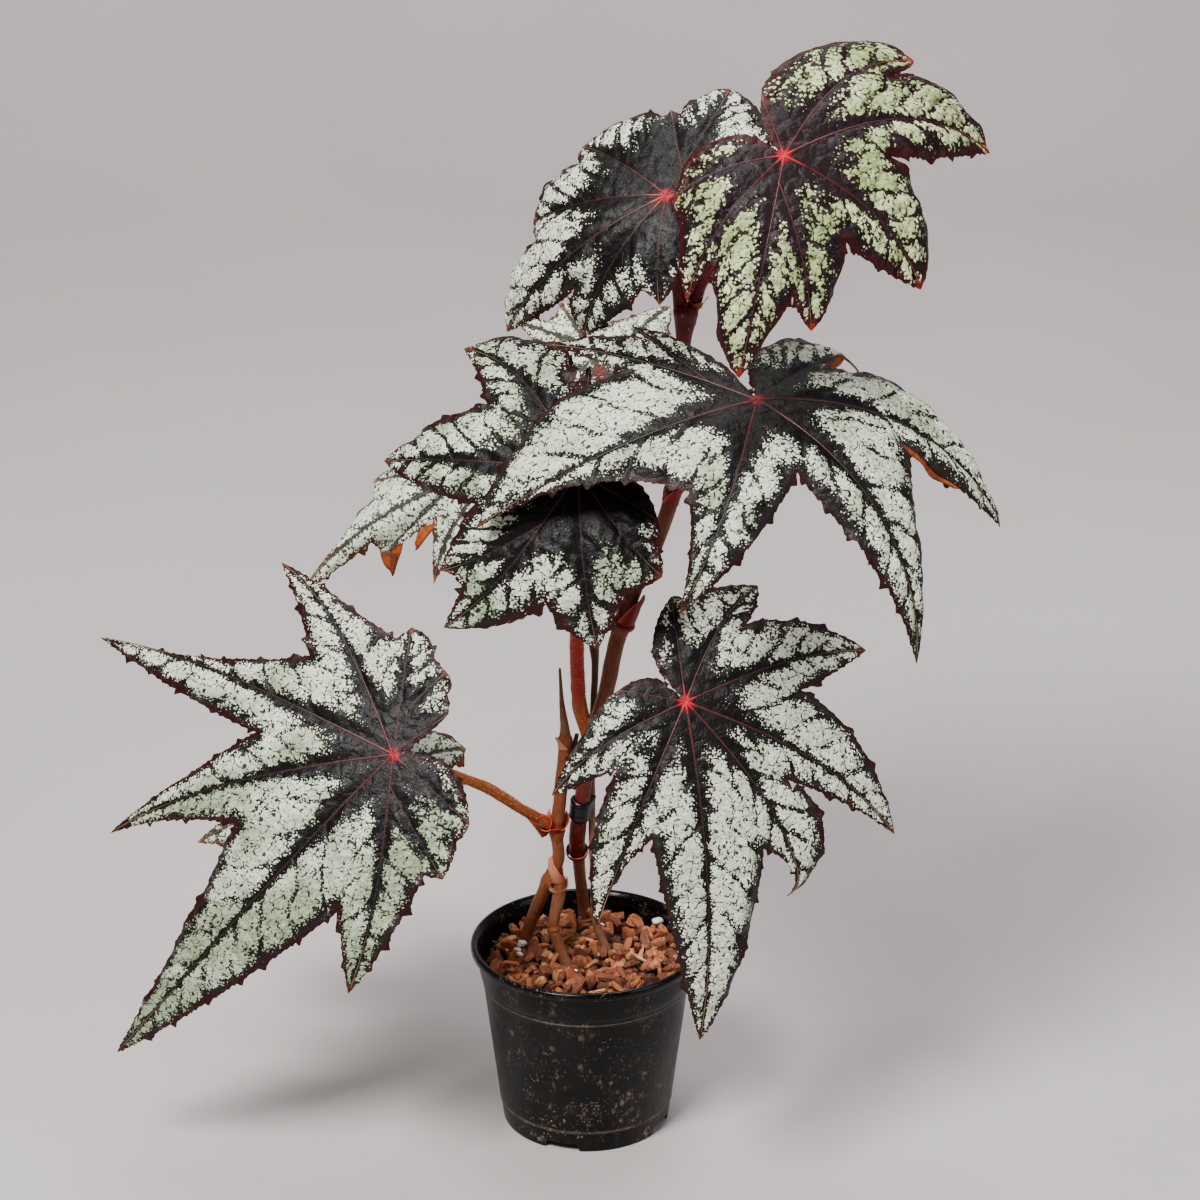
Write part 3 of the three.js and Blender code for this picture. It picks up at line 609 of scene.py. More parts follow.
def valuesAt(leaf, angle):
    # the lobes' reach, curve, sweep, curl and hook at any angle, smooth between neighbours
    table = leaf["table"]
    whole = np.array([360, 0, 0, 0, 0, 0])
    padded = np.vstack([table[-1] - whole, table, table[0] + whole])
    k = np.clip(np.searchsorted(padded[:, 0], angle, side="right") - 1, 0, len(padded) - 2)
    low, high = padded[k], padded[k + 1]
    share = step(angle, low[..., 0], high[..., 0])[..., None]
    return np.moveaxis(low[..., 1:] * (1 - share) + high[..., 1:] * share, -1, 0)


nodesX, nodesW = np.polynomial.legendre.leggauss(10)


def bend(leaf, flat):
    # a flat point at distance r goes out along an arc: its slope is curve * r, plus a roll that
    # grows over the last fifth; its place is the integral of the slope's cosine and sine, and
    # sweep and hook turn it sideways towards the tip
    r = np.hypot(flat[..., 0], flat[..., 1])
    angle = np.degrees(np.arctan2(flat[..., 1], flat[..., 0])) % 360
    full, curve, sweep, curl, hook = valuesAt(leaf, angle)
    out, fall = np.zeros_like(r), np.zeros_like(r)
    for x, weight in zip((nodesX + 1) / 2, nodesW / 2):
        late = np.clip((r * x / full - 0.8) / 0.2, 0, 1.2) ** 2
        slope = curve * r * x + curl * late
        out += weight * np.cos(slope)
        fall += weight * np.sin(slope)
    late = np.clip((r / full - 0.86) / 0.14, 0, 1.2) ** 2
    turn = np.radians(angle + sweep * (r / full) ** 2 + hook * late)
    return np.stack([out * r * np.cos(turn), out * r * np.sin(turn), -fall * r], -1)


def bentNormal(leaf, flat):
    gap = 0.05
    ahead = bend(leaf, flat + [gap, 0]) - bend(leaf, flat - [gap, 0])
    aside = bend(leaf, flat + [0, gap]) - bend(leaf, flat - [0, gap])
    return unit(np.cross(ahead, aside))


def gapTo(points, starts, ends):
    # distance of every point to the nearest of some segments, the place there, and which one
    gap = np.full(len(points), 1e9)
    nearest = np.zeros_like(points)
    owner = np.zeros(len(points), int)
    for index, (a, b) in enumerate(zip(starts, ends)):
        way = b - a
        share = np.clip((points - a) @ way / (way @ way), 0, 1)
        spot = a + share[:, None] * way
        distance = np.linalg.norm(points - spot, axis=1)
        closer = distance < gap
        gap[closer] = distance[closer]
        nearest[closer] = spot[closer]
        owner[closer] = index
    return gap, nearest, owner


def isInside(points, loop):
    # a point is inside when a line from it to the right crosses the loop an odd number of times
    crossings = np.zeros(len(points), int)
    x, y = points.T
    for (x0, y0), (x1, y1) in zip(loop, np.roll(loop, -1, 0)):
        if y0 != y1:
            crossings += ((y0 > y) != (y1 > y)) & (x < x0 + (y - y0) * (x1 - x0) / (y1 - y0))
    return crossings % 2 == 1


def marginSide(low, tip, bulge, flip, count):
    # a quadratic curve from a sinus to a tip, pushed out by a share of its own length
    way = tip - low
    out = np.array([way[1], -way[0]]) * flip
    control = low + 0.45 * way + bulge * out
    t = np.linspace(0, 1, count + 1)[:, None]
    return (1 - t) ** 2 * low + 2 * t * (1 - t) * control + t * t * tip, unit(out)


def teethAlong(edge, rng):
    # sawteeth that lean towards the tip: each rises slowly and drops at once, with two
    # smaller ones on its back; they fade out at both ends of the side
    run = runAlong(edge)
    pitch = bladeForm["toothPitch"] * rng.uniform(0.85, 1.25)
    count = max(1, round(run[-1] / pitch))
    place = run / run[-1] * count + ripples(run[:, None], 30, int(rng.integers(1e6))) * 0.15
    share = place % 1
    depth = rng.uniform(0.45, 1.25, count + 3)[np.clip(place.astype(int), 0, count + 2)]
    saw = share ** 1.6 * (1 - step(share, 0.84, 1.0))
    small = (place * 3 % 1) ** 2 * 0.22
    spikes = np.zeros_like(run)
    at = rng.uniform(3, 12)
    while at < run[-1] - 12:
        size = rng.uniform(*bladeForm["spikeHeight"])
        back, ahead = (run - at) / (2.0 * size), (run - at) / (0.55 * size)
        shape = np.where(run < at, np.clip(1 + back, 0, 1) ** 1.5, np.clip(1 - ahead, 0, 1))
        spikes = np.maximum(spikes, size * shape)
        at += rng.uniform(*bladeForm["spikeGap"])
    window = step(run, 0, 4) * step(run[-1] - run, 0, 6)
    return (bladeForm["toothDepth"] * (saw * depth + small) + spikes) * window


def drawOutline(leaf, rng):
    # the smooth outline with about a point each 4 mm, and the toothed one
    corners = leaf["corners"]
    outline, toothed = [], []
    for corner, following in zip(corners, corners[1:]):
        rising = following[0] == "lobe"
        low, tip = (corner, following) if rising else (following, corner)
        start, end = polar(*low[1:3]), polar(*tip[1:3])
        count = max(8, round(np.linalg.norm(end - start) / bladeForm["marginStep"]))
        edge, out = marginSide(start, end, tip[5 if rising else 6], 1 if rising else -1, count)
        jagged = edge + teethAlong(edge, rng)[:, None] * out
        order = 1 if rising else -1
        outline.append(edge[::order][:-1:5])
        toothed.append(jagged[::order][:-1])
    last = polar(*corners[-1][1:3])[None]
    leaf["outline"] = np.vstack([*outline, last])
    return np.vstack([*toothed, last])


def bladeMesh(leaf, rng):
    # triangles between the toothed outline, points along the main veins and an even grid
    toothed = drawOutline(leaf, rng)
    outline, veins, spacing = leaf["outline"], leaf["veins"], bladeForm["grid"]
    low, high = outline.min(0), outline.max(0)
    columns = np.arange(low[0], high[0], spacing)
    rows = np.arange(low[1], high[1], spacing * 0.866)
    shift = (np.arange(len(rows)) % 2)[:, None] * spacing / 2
    grid = np.stack(np.broadcast_arrays(columns + shift, rows[:, None]), -1).reshape(-1, 2)
    grid = grid[isInside(grid, outline)]
    edgeGap = gapTo(grid, outline, np.roll(outline, -1, 0))[0]
    veinGap = gapTo(grid, veins[:, 0], veins[:, 1])[0]
    grid = grid[(edgeGap > 0.7 * spacing) & (veinGap > 0.6 * spacing)]
    along = []
    for start, tip in veins:
        count = int(np.linalg.norm(tip - start) / bladeForm["veinStep"])
        along.append(start + np.linspace(0.01, 0.985, count)[:, None] * (tip - start))
    points = np.vstack([toothed, [[0, 0]], *along, grid])
    n = len(toothed)
    edges = [(i, (i + 1) % n) for i in range(n)]
    flat, _, faces, origins, *_ = delaunay_2d_cdt(points.tolist(), edges, [], 1, 1e-4, True)
    flat, faces = np.array([tuple(each) for each in flat]), np.array(faces)
    # triangles that touch the outline may lie in a bay of it, and those go
    onOutline = np.array([min(each, default=0) < n for each in origins])
    doubtful = np.flatnonzero(onOutline[faces].any(1))
    outside = doubtful[~isInside(flat[faces[doubtful]].mean(1), toothed)]
    used, faces = np.unique(np.delete(faces, outside, 0), return_inverse=True)
    flat, faces = flat[used], faces.reshape(-1, 3)
    ahead, aside = flat[faces[:, 1]] - flat[faces[:, 0]], flat[faces[:, 2]] - flat[faces[:, 0]]
    area = ahead[:, 0] * aside[:, 1] - ahead[:, 1] * aside[:, 0]
    return flat, np.where((area < 0)[:, None], faces[:, ::-1], faces)


def lobeOf(leaf, flat):
    # index of the lobe whose sector, from sinus to sinus, holds each point
    angle = np.degrees(np.arctan2(flat[..., 1], flat[..., 0]))
    first = leaf["corners"][0][1]
    return np.searchsorted((leaf["sinuses"][:, 0] - first) % 360, (angle - first) % 360)


def sideVeins(leaf, flat, own):
    # phase and spacing of the side veins of lobe `own`: whole numbers plus a half are veins,
    # which leave the main vein at a slant and bend a little towards the tip
    turn = leaf["veinTurn"][own]
    along = flat[..., 0] * np.cos(turn) + flat[..., 1] * np.sin(turn)
    across = flat[..., 1] * np.cos(turn) - flat[..., 0] * np.sin(turn)
    gap = np.abs(across)
    share, least, most = bladeForm["sideSpacing"]
    spacing = np.clip(share * leaf["veinReach"][own], least, most)
    place = flat.reshape(-1, 2)
    wobble = 1.9 * ripples(place, 26, leaf["seed"] + 5) + 0.7 * ripples(place, 9, leaf["seed"] + 8)
    lines = along - bladeForm["sideSlant"] * gap + 0.006 * gap ** 2 + wobble.reshape(gap.shape)
    return lines / spacing + 0.35 * (across > 0) + own * 0.37, spacing


def rollMargin(leaf, flat, fields):
    # near the margin the blade bends down on an arc: at arc length a it has gone
    # sin(curve * a) / curve outwards and (1 - cos(curve * a)) / curve down
    half = fields["veinGap"] + np.maximum(fields["edgeGap"], 0)
    width = np.clip(bladeForm["rollShare"] * half, 0.5, bladeForm["rollLimit"])
    window = (0.2 + 0.8 * step(fields["sinusGap"], 2, 22)) * (0.3 + 0.7 * step(fields["tipGap"], 0, 26))
    degrees = leaf["roll"] * window * (1 + 0.65 * ripples(flat, 42, leaf["seed"] + 9))
    curve = np.maximum(np.radians(np.maximum(degrees, 0)) / width, 1e-5)
    late = np.maximum(width - fields["signedGap"], 0)
    shift = np.sin(curve * late) / curve - late
    drop = (1 - np.cos(curve * late)) / curve
    return flat + shift[:, None] * fields["out"], drop


def starField(leaf, flat):
    # below 0 in the dark star: arms along the main veins whose half width falls off with
    # the exponential of the distance from the hub; above 0 outside it
    scale = leaf["scale"] * leaf["star"]
    field = np.full(len(flat), 9.0)
    for (start, tip), reach in zip(leaf["veins"], leaf["veinReach"]):
        way = tip - start
        share = np.clip((flat - start) @ way / (way @ way), 0, 1)
        nearest = start + share[:, None] * way
        late = np.maximum(np.hypot(*nearest.T) - 24 * scale, 0) / (0.19 * reach)
        arm = (11 * scale * np.exp(-late) + 0.7) * leaf["arm"]
        soft = (1.1 + 3.8 * np.exp(-late)) * leaf["arm"]
        field = np.minimum(field, (np.linalg.norm(flat - nearest, axis=1) - arm) / soft)
    r = np.hypot(*flat.T)
    fromHub = (r - 29 * scale + 6 * ripples(flat, 30, leaf["seed"] + 3)) / (7 * scale)
    return np.minimum(field, fromHub)


def leafFields(leaf, flat):
    # what shape and colour need at every point: distances to the main veins, the margin, the
    # sinuses and the tips, and a field that is positive where the blade is silver
    seed, outline = leaf["seed"], leaf["outline"]
    fields = {"run": np.hypot(*flat.T), "own": lobeOf(leaf, flat)}
    fields["veinGap"], _, _ = gapTo(flat, leaf["veins"][:, 0], leaf["veins"][:, 1])
    after = np.roll(outline, -1, 0)
    gap, nearest, owner = gapTo(flat, outline, after)
    way = (after - outline) / np.linalg.norm(after - outline, axis=1, keepdims=True)
    square = np.stack([way[:, 1], -way[:, 0]], -1)[owner]
    signed = np.where(isInside(flat, outline), gap, -gap)
    straight = (nearest - flat) / np.where(np.abs(signed) < 0.5, 1, signed)[:, None]
    fields["out"] = np.where(np.abs(signed)[:, None] < 0.5, square, straight)
    fields["signedGap"], fields["edgeGap"] = signed, np.maximum(signed, 0)
    sinuses = polar(*leaf["sinuses"].T)
    tips = leaf["veins"][:, 1]
    fields["sinusGap"] = np.linalg.norm(flat[:, None] - sinuses, axis=2).min(1)
    fields["tipGap"] = np.linalg.norm(flat[:, None] - tips, axis=2).min(1)
    fields["borderGap"], _, _ = gapTo(flat, 0 * sinuses, sinuses)
    tipSize = np.clip(0.08 * leaf["veinReach"], 3, 10)
    fields["tip"] = (1 - np.linalg.norm(flat[:, None] - tips, axis=2) / tipSize).max(1).clip(0, 1)
    half = fields["veinGap"] + fields["edgeGap"]
    margin = np.clip(0.26 * half, 0.8, 6.0) * leaf["rim"]
    margin = margin * (1 + 0.25 * ripples(flat, 24, seed + 6))
    fromEdge = (fields["edgeGap"] - margin) / (0.5 * margin + 0.6)
    field = np.minimum(starField(leaf, flat), fromEdge)
    fields["silver"] = np.clip(field + 0.35 * ripples(flat, 14, seed + 4), -1.6, 1.6)
    scale = leaf["scale"]
    fields["strength"] = step(fields["run"], 22 * scale, 46 * scale) * step(fields["edgeGap"], 0, 4)
    fields["ink"] = fields["strength"] * leaf["ink"]
    fields["blush"] = leaf["blush"] + 0.25 * ripples(flat, 38, seed + 12)
    base, right, up = leaf["sage"]
    # the grey-green grows across the blade by its change to the right and up: painted shade on the part
    # that faces away from the light
    fields["sage"] = base + right * flat[:, 0] + up * flat[:, 1] + 0.3 * ripples(flat, 45, seed + 7)
    return fields


def relief(leaf, flat, fields):
    # the blade swells between main veins, dips along side veins, and has small wrinkles and
    # a waved margin; everything dies away at the main veins, so that they lie on the arc
    veinGap, edgeGap, r = fields["veinGap"], fields["edgeGap"], fields["run"]
    seed, scale = leaf["seed"], leaf["scale"]
    away = 1 - np.exp(-veinGap / 3.5)
    inner = step(edgeGap, 0, 12)
    puff = bladeForm["puff"] * (1 - np.exp(-veinGap / 6)) * inner * step(r, 4, 40 * scale)
    phase, spacing = sideVeins(leaf, flat, fields["own"])
    share = np.abs(phase % 1 - 0.5) * 2  # 0 on a side vein
    furrow = bladeForm["quilting"] * (np.sqrt(share) - 0.6) * fields["strength"]
    furrow *= np.clip(spacing / 18, 0.5, 1.2) * step(fields["borderGap"], 0, 6)
    wrinkle = bladeForm["wrinkle"] * ripples(flat, 6.5, seed + 1)
    wave = bladeForm["marginWave"] * np.exp(-edgeGap / 7) * ripples(flat, 17, seed + 2)
    wave *= step(r, 20 * scale, 50 * scale)
    return puff + away * (furrow + wrinkle + wave * step(veinGap, 0, 8))


boxLow = (cadLow - home) / mm
boxHigh = (cadHigh - home) / mm


def insideBox(points):
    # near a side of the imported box, places are drawn in softly so that both faces of a blade
    # stay apart: the part past the soft edge shrinks as 1 - exp(-x)
    soft, gap = 1.6, 0.6
    high, low = boxHigh - gap, boxLow + gap
    over = np.maximum(points - (high - soft), 0)
    below = np.maximum(low + soft - points, 0)
    points = np.minimum(points, high - soft) + soft * (1 - np.exp(-over / soft))
    return np.maximum(points, low + soft) - soft * (1 - np.exp(-below / soft))


def leafPoints(leaf, local):
    return np.array(leaf["hub"], float) + local @ leaf["axes"].T


def pointNormals(points, faces):
    a, b, c = (points[faces[:, corner]] for corner in range(3))
    normal = np.cross(b - a, c - a)
    total = np.zeros_like(points)
    for corner in range(3):
        np.add.at(total, faces[:, corner], normal)
    return total / np.maximum(np.linalg.norm(total, axis=1, keepdims=True), 1e-12)


def boundary(faces):
    # edges used by one face only, in that face's direction
    edges = np.vstack([faces[:, [0, 1]], faces[:, [1, 2]], faces[:, [2, 0]]])
    key = np.sort(edges, axis=1)
    _, index, count = np.unique(key, axis=0, return_index=True, return_counts=True)
    return edges[index[count == 1]]


def buildBlade(name, leaf, material, slot):
    rng = np.random.default_rng(leaf["seed"])
    flat, faces = bladeMesh(leaf, rng)
    fields = leafFields(leaf, flat)
    moved, drop = rollMargin(leaf, flat, fields)
    height = relief(leaf, flat, fields) - drop
    middle = bend(leaf, moved) + bentNormal(leaf, moved) * height[:, None]
    middle = insideBox(leafPoints(leaf, middle))
    leaf["skin"] = flat, middle
    half = bladeForm["thickness"] / 2
    rim = np.exp(-fields["edgeGap"] / 0.8)[:, None]
    lift = pointNormals(middle, faces) * half * (1 - 0.35 * rim)
    points = np.vstack([middle + lift, middle - lift])
    count = len(middle)
    a, b = boundary(faces).T
    rimFaces = np.vstack([np.stack([a, a + count, b + count], -1), np.stack([a, b + count, b], -1)])
    columns = {"spot": (*flat.T, np.full(count, leaf["seed"] % 50)),
               "marks": (fields["silver"], fields["veinGap"], fields["edgeGap"]),
               "tint": (fields["sage"], fields["ink"], fields["blush"]),
               "where": (fields["run"], fields["tip"], np.ones(count))}
    vectors = {key: np.tile(np.stack(values, -1), (2, 1)) for key, values in columns.items()}
    vectors["where"][count:, 2] = 0  # the under face
    own = lobeOf(leaf, flat[faces].mean(1))
    phases = np.stack(sideVeins(leaf, flat[faces], np.repeat(own[:, None], 3, 1)), -1)
    uv = np.vstack([phases.reshape(-1, 2), phases[:, ::-1].reshape(-1, 2),
                    np.tile([0.0, 20.0], (len(rimFaces) * 3, 1))])
    addMesh("leaf_" + name, points, [np.vstack([faces, faces[:, ::-1] + count, rimFaces])], material,
            slot, ["blade_" + name], sharp=70, vectors=vectors, uv=("sideVeins", uv))
    print("leaf", name, len(faces) * 2 + len(rimFaces), "triangles")


veinForm = {"width": 0.58, "rise": 0.34, "rib": 1.15, "sides": 8, "step": 2.0, "endShare": 0.97}


def buildVeins(name, leaf, material, slot):
    # each main vein is a flattened tube on the bent surface: a low cord above the blade and
    # a thicker rib below it, both tapering towards the tip
    pieces, vectors = [], []
    half, sides = bladeForm["thickness"] / 2, veinForm["sides"]
    sine, cosine = np.sin(around(sides)), np.cos(around(sides))
    for (start, tip), reach in zip(leaf["veins"], leaf["veinReach"]):
        count = max(8, int(np.linalg.norm(tip - start) / veinForm["step"]))
        share = np.linspace(0, veinForm["endShare"], count)[:, None]
        flat = start + share * (tip - start)
        line = bend(leaf, flat)
        normal = bentNormal(leaf, flat)
        ahead = unit(np.gradient(line, axis=0))
        side = np.cross(normal, ahead)
        taper = np.clip(reach / 110, 0.6, 1.25) * (1 - share) ** 0.8 + 0.22
        up = np.maximum(sine, 0) * (half + veinForm["rise"] * taper)
        down = np.minimum(sine, 0) * (half + veinForm["rib"] * taper)
        wide = cosine * veinForm["width"] * taper
        rings = line[:, None] + wide[..., None] * side[:, None] + (up + down)[..., None] * normal[:, None]
        pieces.append(closedRings(rings, line[0] - ahead[0] * 0.5, line[-1] + ahead[-1] * 0.5))
        run = np.hypot(*flat.T)[:, None]
        values = np.stack(np.broadcast_arrays(run, share, sine > -0.1), -1).reshape(-1, 3)
        vectors.append(np.vstack([values, [run[0, 0], 0, 1], [run[-1, 0], share[-1, 0], 1]]))
    points, faces = mergeMeshes(pieces)
    addMesh("veins_" + name, insideBox(leafPoints(leaf, points)), faces, material, slot,
            vectors={"where": np.vstack(vectors)})


looks = {
    "mature": {
        "star": (0.0024, 0.0014, 0.0012), "starLight": (0.016, 0.0120, 0.0120),
        "silver": (0.74, 0.77, 0.64), "sage": (0.17, 0.235, 0.115), "gap": (0.0045, 0.0052, 0.0026),
        "margin": (0.012, 0.0098, 0.0075), "rim": (0.0165, 0.0022, 0.0022), "tip": (0.12, 0.032, 0.014),
        "hub": (0.42, 0.003, 0.014), "vein": (0.050, 0.0050, 0.0085), "veinFar": (0.0105, 0.0052, 0.0040),
        "veinTip": (0.26, 0.15, 0.075), "under": (0.115, 0.028, 0.012),
        "underLight": (0.20, 0.070, 0.034), "redFade": (7.5, 70), "bubble": 1.1, "cells": 0.78,
    },
    "young": {
        "star": (0.0070, 0.0018, 0.0030), "starLight": (0.024, 0.0080, 0.012),
        "silver": (0.66, 0.71, 0.42), "sage": (0.19, 0.26, 0.08), "gap": (0.010, 0.0036, 0.0028),
        "margin": (0.0155, 0.0016, 0.0027), "rim": (0.025, 0.0015, 0.0020), "tip": (0.24, 0.018, 0.006),
        "hub": (0.42, 0.003, 0.014), "vein": (0.050, 0.0022, 0.0060), "veinFar": (0.020, 0.0020, 0.0034),
        "veinTip": (0.34, 0.08, 0.028), "under": (0.20, 0.012, 0.008), "underLight": (0.30, 0.04, 0.02),
        "redFade": (10, 110), "bubble": 1.9, "cells": 0.52,
    },
    "pale": {
        "star": (0.022, 0.021, 0.016), "starLight": (0.06, 0.06, 0.05),
        "silver": (0.66, 0.71, 0.60), "sage": (0.36, 0.42, 0.27), "gap": (0.035, 0.042, 0.022),
        "margin": (0.040, 0.038, 0.025), "rim": (0.070, 0.020, 0.010), "tip": (0.34, 0.15, 0.06),
        "hub": (0.12, 0.012, 0.012), "vein": (0.045, 0.018, 0.012), "veinFar": (0.04, 0.032, 0.018),
        "veinTip": (0.26, 0.17, 0.085), "under": (0.24, 0.07, 0.012), "underLight": (0.34, 0.13, 0.04),
        "redFade": (6, 50), "bubble": 0.6, "cells": 0.78,
    },
}
leafCells = {"netScale": 0.16, "blisterHeight": 0.24, "sideWidth": 0.3,
             "sideFlare": 1.2, "bubbleScale": 0.17, "pinScale": 0.40, "pinShare": 0.6, "pinSize": 0.44}


def bladeMaterial(name, look):
    material, tree = newMaterial(name)
    spot = attribute(tree, "spot")
    field, veinGap, edgeGap = parts(attribute(tree, "marks"))
    run, tip, upper = parts(attribute(tree, "where"))
    tint, strength, blush = parts(attribute(tree, "tint"))
    sides = tree.nodes.new("ShaderNodeUVMap")
    sides.uv_map = "sideVeins"
    phase, spacing, _ = parts(sides.outputs[0])

    # distance in millimetres to the next side vein, roughened; veins flare at their roots
    rough = noise(spot, 0.42, 3.0, 0.6)
    grainy = noise(spot, 0.26, 4.0, 0.65)
    inRow = calc("ABSOLUTE", minus(calc("FRACT", phase), 0.5))
    sideGap = plus(times(times(inRow, spacing), 0.66), times(minus(rough, 0.5), 3.0))
    flare = calc("EXPONENT", times(veinGap, -0.14))
    sideWidth = plus(times(flare, leafCells["sideFlare"]), leafCells["sideWidth"])
    sideLine = times(ramp(minus(sideGap, sideWidth), 0.0, 1.15, 1.0, 0.0), strength)
    sideLine = times(sideLine, ramp(noise(spot, 0.09), 0.36, 0.52, 0.25))

    # a finer broken net between the side veins
    bentSpot = drifted(spot, 0.18, 2.0, 6)
    net = put("TexVoronoi", {"Vector": bentSpot, "Scale": leafCells["netScale"]},
              feature="DISTANCE_TO_EDGE", voronoi_dimensions="2D")["Distance"]
    netLine = times(ramp(net, 0.015, 0.06, 1.0, 0.0), ramp(noise(spot, 0.2, 3.0), 0.40, 0.56))

    # cover of the silver: smooth field, roughened, with both nets taken out
    cover = plus(times(field, 0.44), times(minus(grainy, 0.5), 1.25))
    cover = calc("MINIMUM", plus(cover, 0.47), 1.0)
    cover = minus(minus(cover, times(sideLine, 0.80)), times(netLine, 0.66))
    cells = useGroup(silverCells, {"Spot": spot, "Cover": cover, "Scale": look["cells"]})
    # dark pinholes all over the silver, drawn out by the drift of the net
    pins = speckle(bentSpot, leafCells["pinScale"], leafCells["pinShare"], leafCells["pinSize"])
    silver = times(cells["Silver"], ramp(pins, 0.30, 0.62, 1.0, 0.05))

    # colours of the upper face
    # tint is the sage field, so these wide grey-green patches also carry its painted shade
    wide = plus(noise(spot, 0.05, 3.0), times(tint, 0.5))
    green = blend(ramp(wide, 0.45, 0.95), look["silver"], look["sage"])
    green = blend(ramp(rough, 0.42, 0.66, 0.0, 0.42), green, look["sage"])
    # painted shade: each silver cell turns greener towards its edge, so that its raised middle reads
    # lighter
    green = blend(ramp(cells["Dome"], 0.40, 0.78, 0.45, 0.0), green, look["sage"])
    green = blend(times(cells["Chance"], 0.3), green, look["silver"])
    ray = put("VectorMath", {0: spot}, operation="NORMALIZE")[0]
    rays = noise(stretched(ray, (26, 26, 0)), 1.0, 3.0, 0.7)
    streak = times(ramp(rays, 0.52, 0.8), ramp(grainy, 0.4, 0.65))
    dark = blend(ramp(field, -1.0, 0.4), blend(streak, look["star"], look["starLight"]), look["gap"])
    dark = blend(ramp(edgeGap, 1.5, 6.5, 1.0, 0.0), dark, look["margin"])
    rimEdge = minus(edgeGap, times(plus(rough, blush), 3.4))
    dark = blend(ramp(rimEdge, -1.7, 0.5, 1.0, 0.0), dark, look["rim"])
    over = blend(silver, dark, green)
    # painted shade: a narrow band in the star's dark colour along both sides of each main vein, where the
    # blade dips beside the raised vein
    over = blend(ramp(veinGap, 0.4, 1.8, 0.75, 0.0), over, look["star"])
    over = blend(times(ramp(tip, 0.1, 0.9), ramp(rough, 0.3, 0.7, 0.3, 0.9)), over, look["tip"])
    over = blend(ramp(plus(run, times(rays, 4.0)), 3.5, 6.5, 0.8, 0.0), over, look["hub"])

    # the under face: red-brown, paler along its nets
    under = blend(ramp(grainy, 0.35, 0.7), look["under"], look["underLight"])
    under = blend(times(larger(sideLine, netLine), 0.6), under, look["underLight"])

    bubbles = put("TexVoronoi", {"Vector": bentSpot, "Scale": leafCells["bubbleScale"],
                                 "Smoothness": 0.35},
                  feature="SMOOTH_F1", voronoi_dimensions="2D")["Distance"]
    height = times(times(cells["Dome"], silver), leafCells["blisterHeight"])
    height = minus(height, times(times(bubbles, bubbles), 1.3 * look["bubble"]))
    height = minus(height, times(larger(sideLine, times(netLine, 0.6)), 0.5))
    height = times(height, ramp(field, -1.2, 0.3, 0.4, 1.0))
    height = plus(height, plus(times(noise(spot, 1.6, 3.0), 0.12), times(rough, 0.38)))
    shine = plus(times(silver, -0.04), ramp(grainy, 0.2, 0.8, 0.35, 0.50))
    return finishMaterial(material, blend(ramp(upper, 0.4, 0.6), under, over), shine, 0.17, height, mm)


def veinMaterial(name, look):
    material, tree = newMaterial(name)
    run, share, upper = parts(attribute(tree, "where"))
    spot = objectSpot(tree)
    fromHub = plus(run, times(minus(noise(spot, 90.0), 0.5), 26.0))
    redEnd, farStart = look["redFade"]
    colour = blend(ramp(fromHub, 1.0, redEnd), look["hub"], look["vein"])
    colour = blend(ramp(fromHub, redEnd, farStart), colour, look["veinFar"])
    colour = blend(ramp(share, 0.68, 0.98), colour, look["veinTip"])
    colour = blend(upper, look["underLight"], colour)
    fine = noise(spot, 900.0, 3.0)
    colour = blend(ramp(fine, 0.3, 0.8, 0.0, 0.12), colour, look["veinTip"])
    return finishMaterial(material, colour, ramp(fine, 0.2, 0.8, 0.32, 0.46), 0.3, fine, 0.00015)


slots = {"mature": "blade", "young": "blade_young", "pale": "blade_pale"}
bladeSkins = {key: bladeMaterial("blade " + key, look) for key, look in looks.items()}
veinSkins = {key: veinMaterial("vein " + key, look) for key, look in looks.items()}
for number, (name, leaf) in enumerate(leaves.items()):
    leaf["seed"] = 11 + 17 * number
    readLeaf(leaf)
    buildBlade(name, leaf, bladeSkins[leaf["look"]], slots[leaf["look"]])
    buildVeins(name, leaf, veinSkins[leaf["look"]], slots[leaf["look"]])
print("leaves made")


# Bits of margin that fold over and show the under face: the two ends of the fold on the margin
# as angle and reach, length, the way it hangs, how pointed it is (1) or even (0), how dark
flaps = [
    {"leaf": "back_left", "ends": ((217, 84), (224, 68)), "length": 15, "hang": (.05, -.2, -1),
     "point": 1, "dark": 0.15},
    {"leaf": "back_left", "ends": ((225, 58), (228, 44)), "length": 15, "hang": (-.55, -.3, -1),
     "point": 0.8, "dark": 0.0},
    {"leaf": "right", "ends": ((352, 70), (355.8, 112)), "length": 2.6, "hang": (-.35, -.2, -1),
     "point": 0.0, "dark": 0.1},
    {"leaf": "right", "ends": ((42, 44), (43, 66)), "length": 8, "hang": (-.3, -.4, -1),
     "point": 0.3, "dark": 0.0},
    {"leaf": "crown", "ends": ((172, 80), (186, 79)), "length": 5, "hang": (-.25, -.1, -1),
     "point": 0.2, "dark": 0.85},
    {"leaf": "hidden_left", "ends": ((38, 64), (26, 56)), "length": 7, "hang": (.3, -.2, -1),
     "point": 0.5, "dark": 0.35},
]
flapLook = {"bright": (0.26, 0.058, 0.0065), "deep": (0.10, 0.017, 0.005),
            "dark": (0.012, 0.006, 0.0035)}


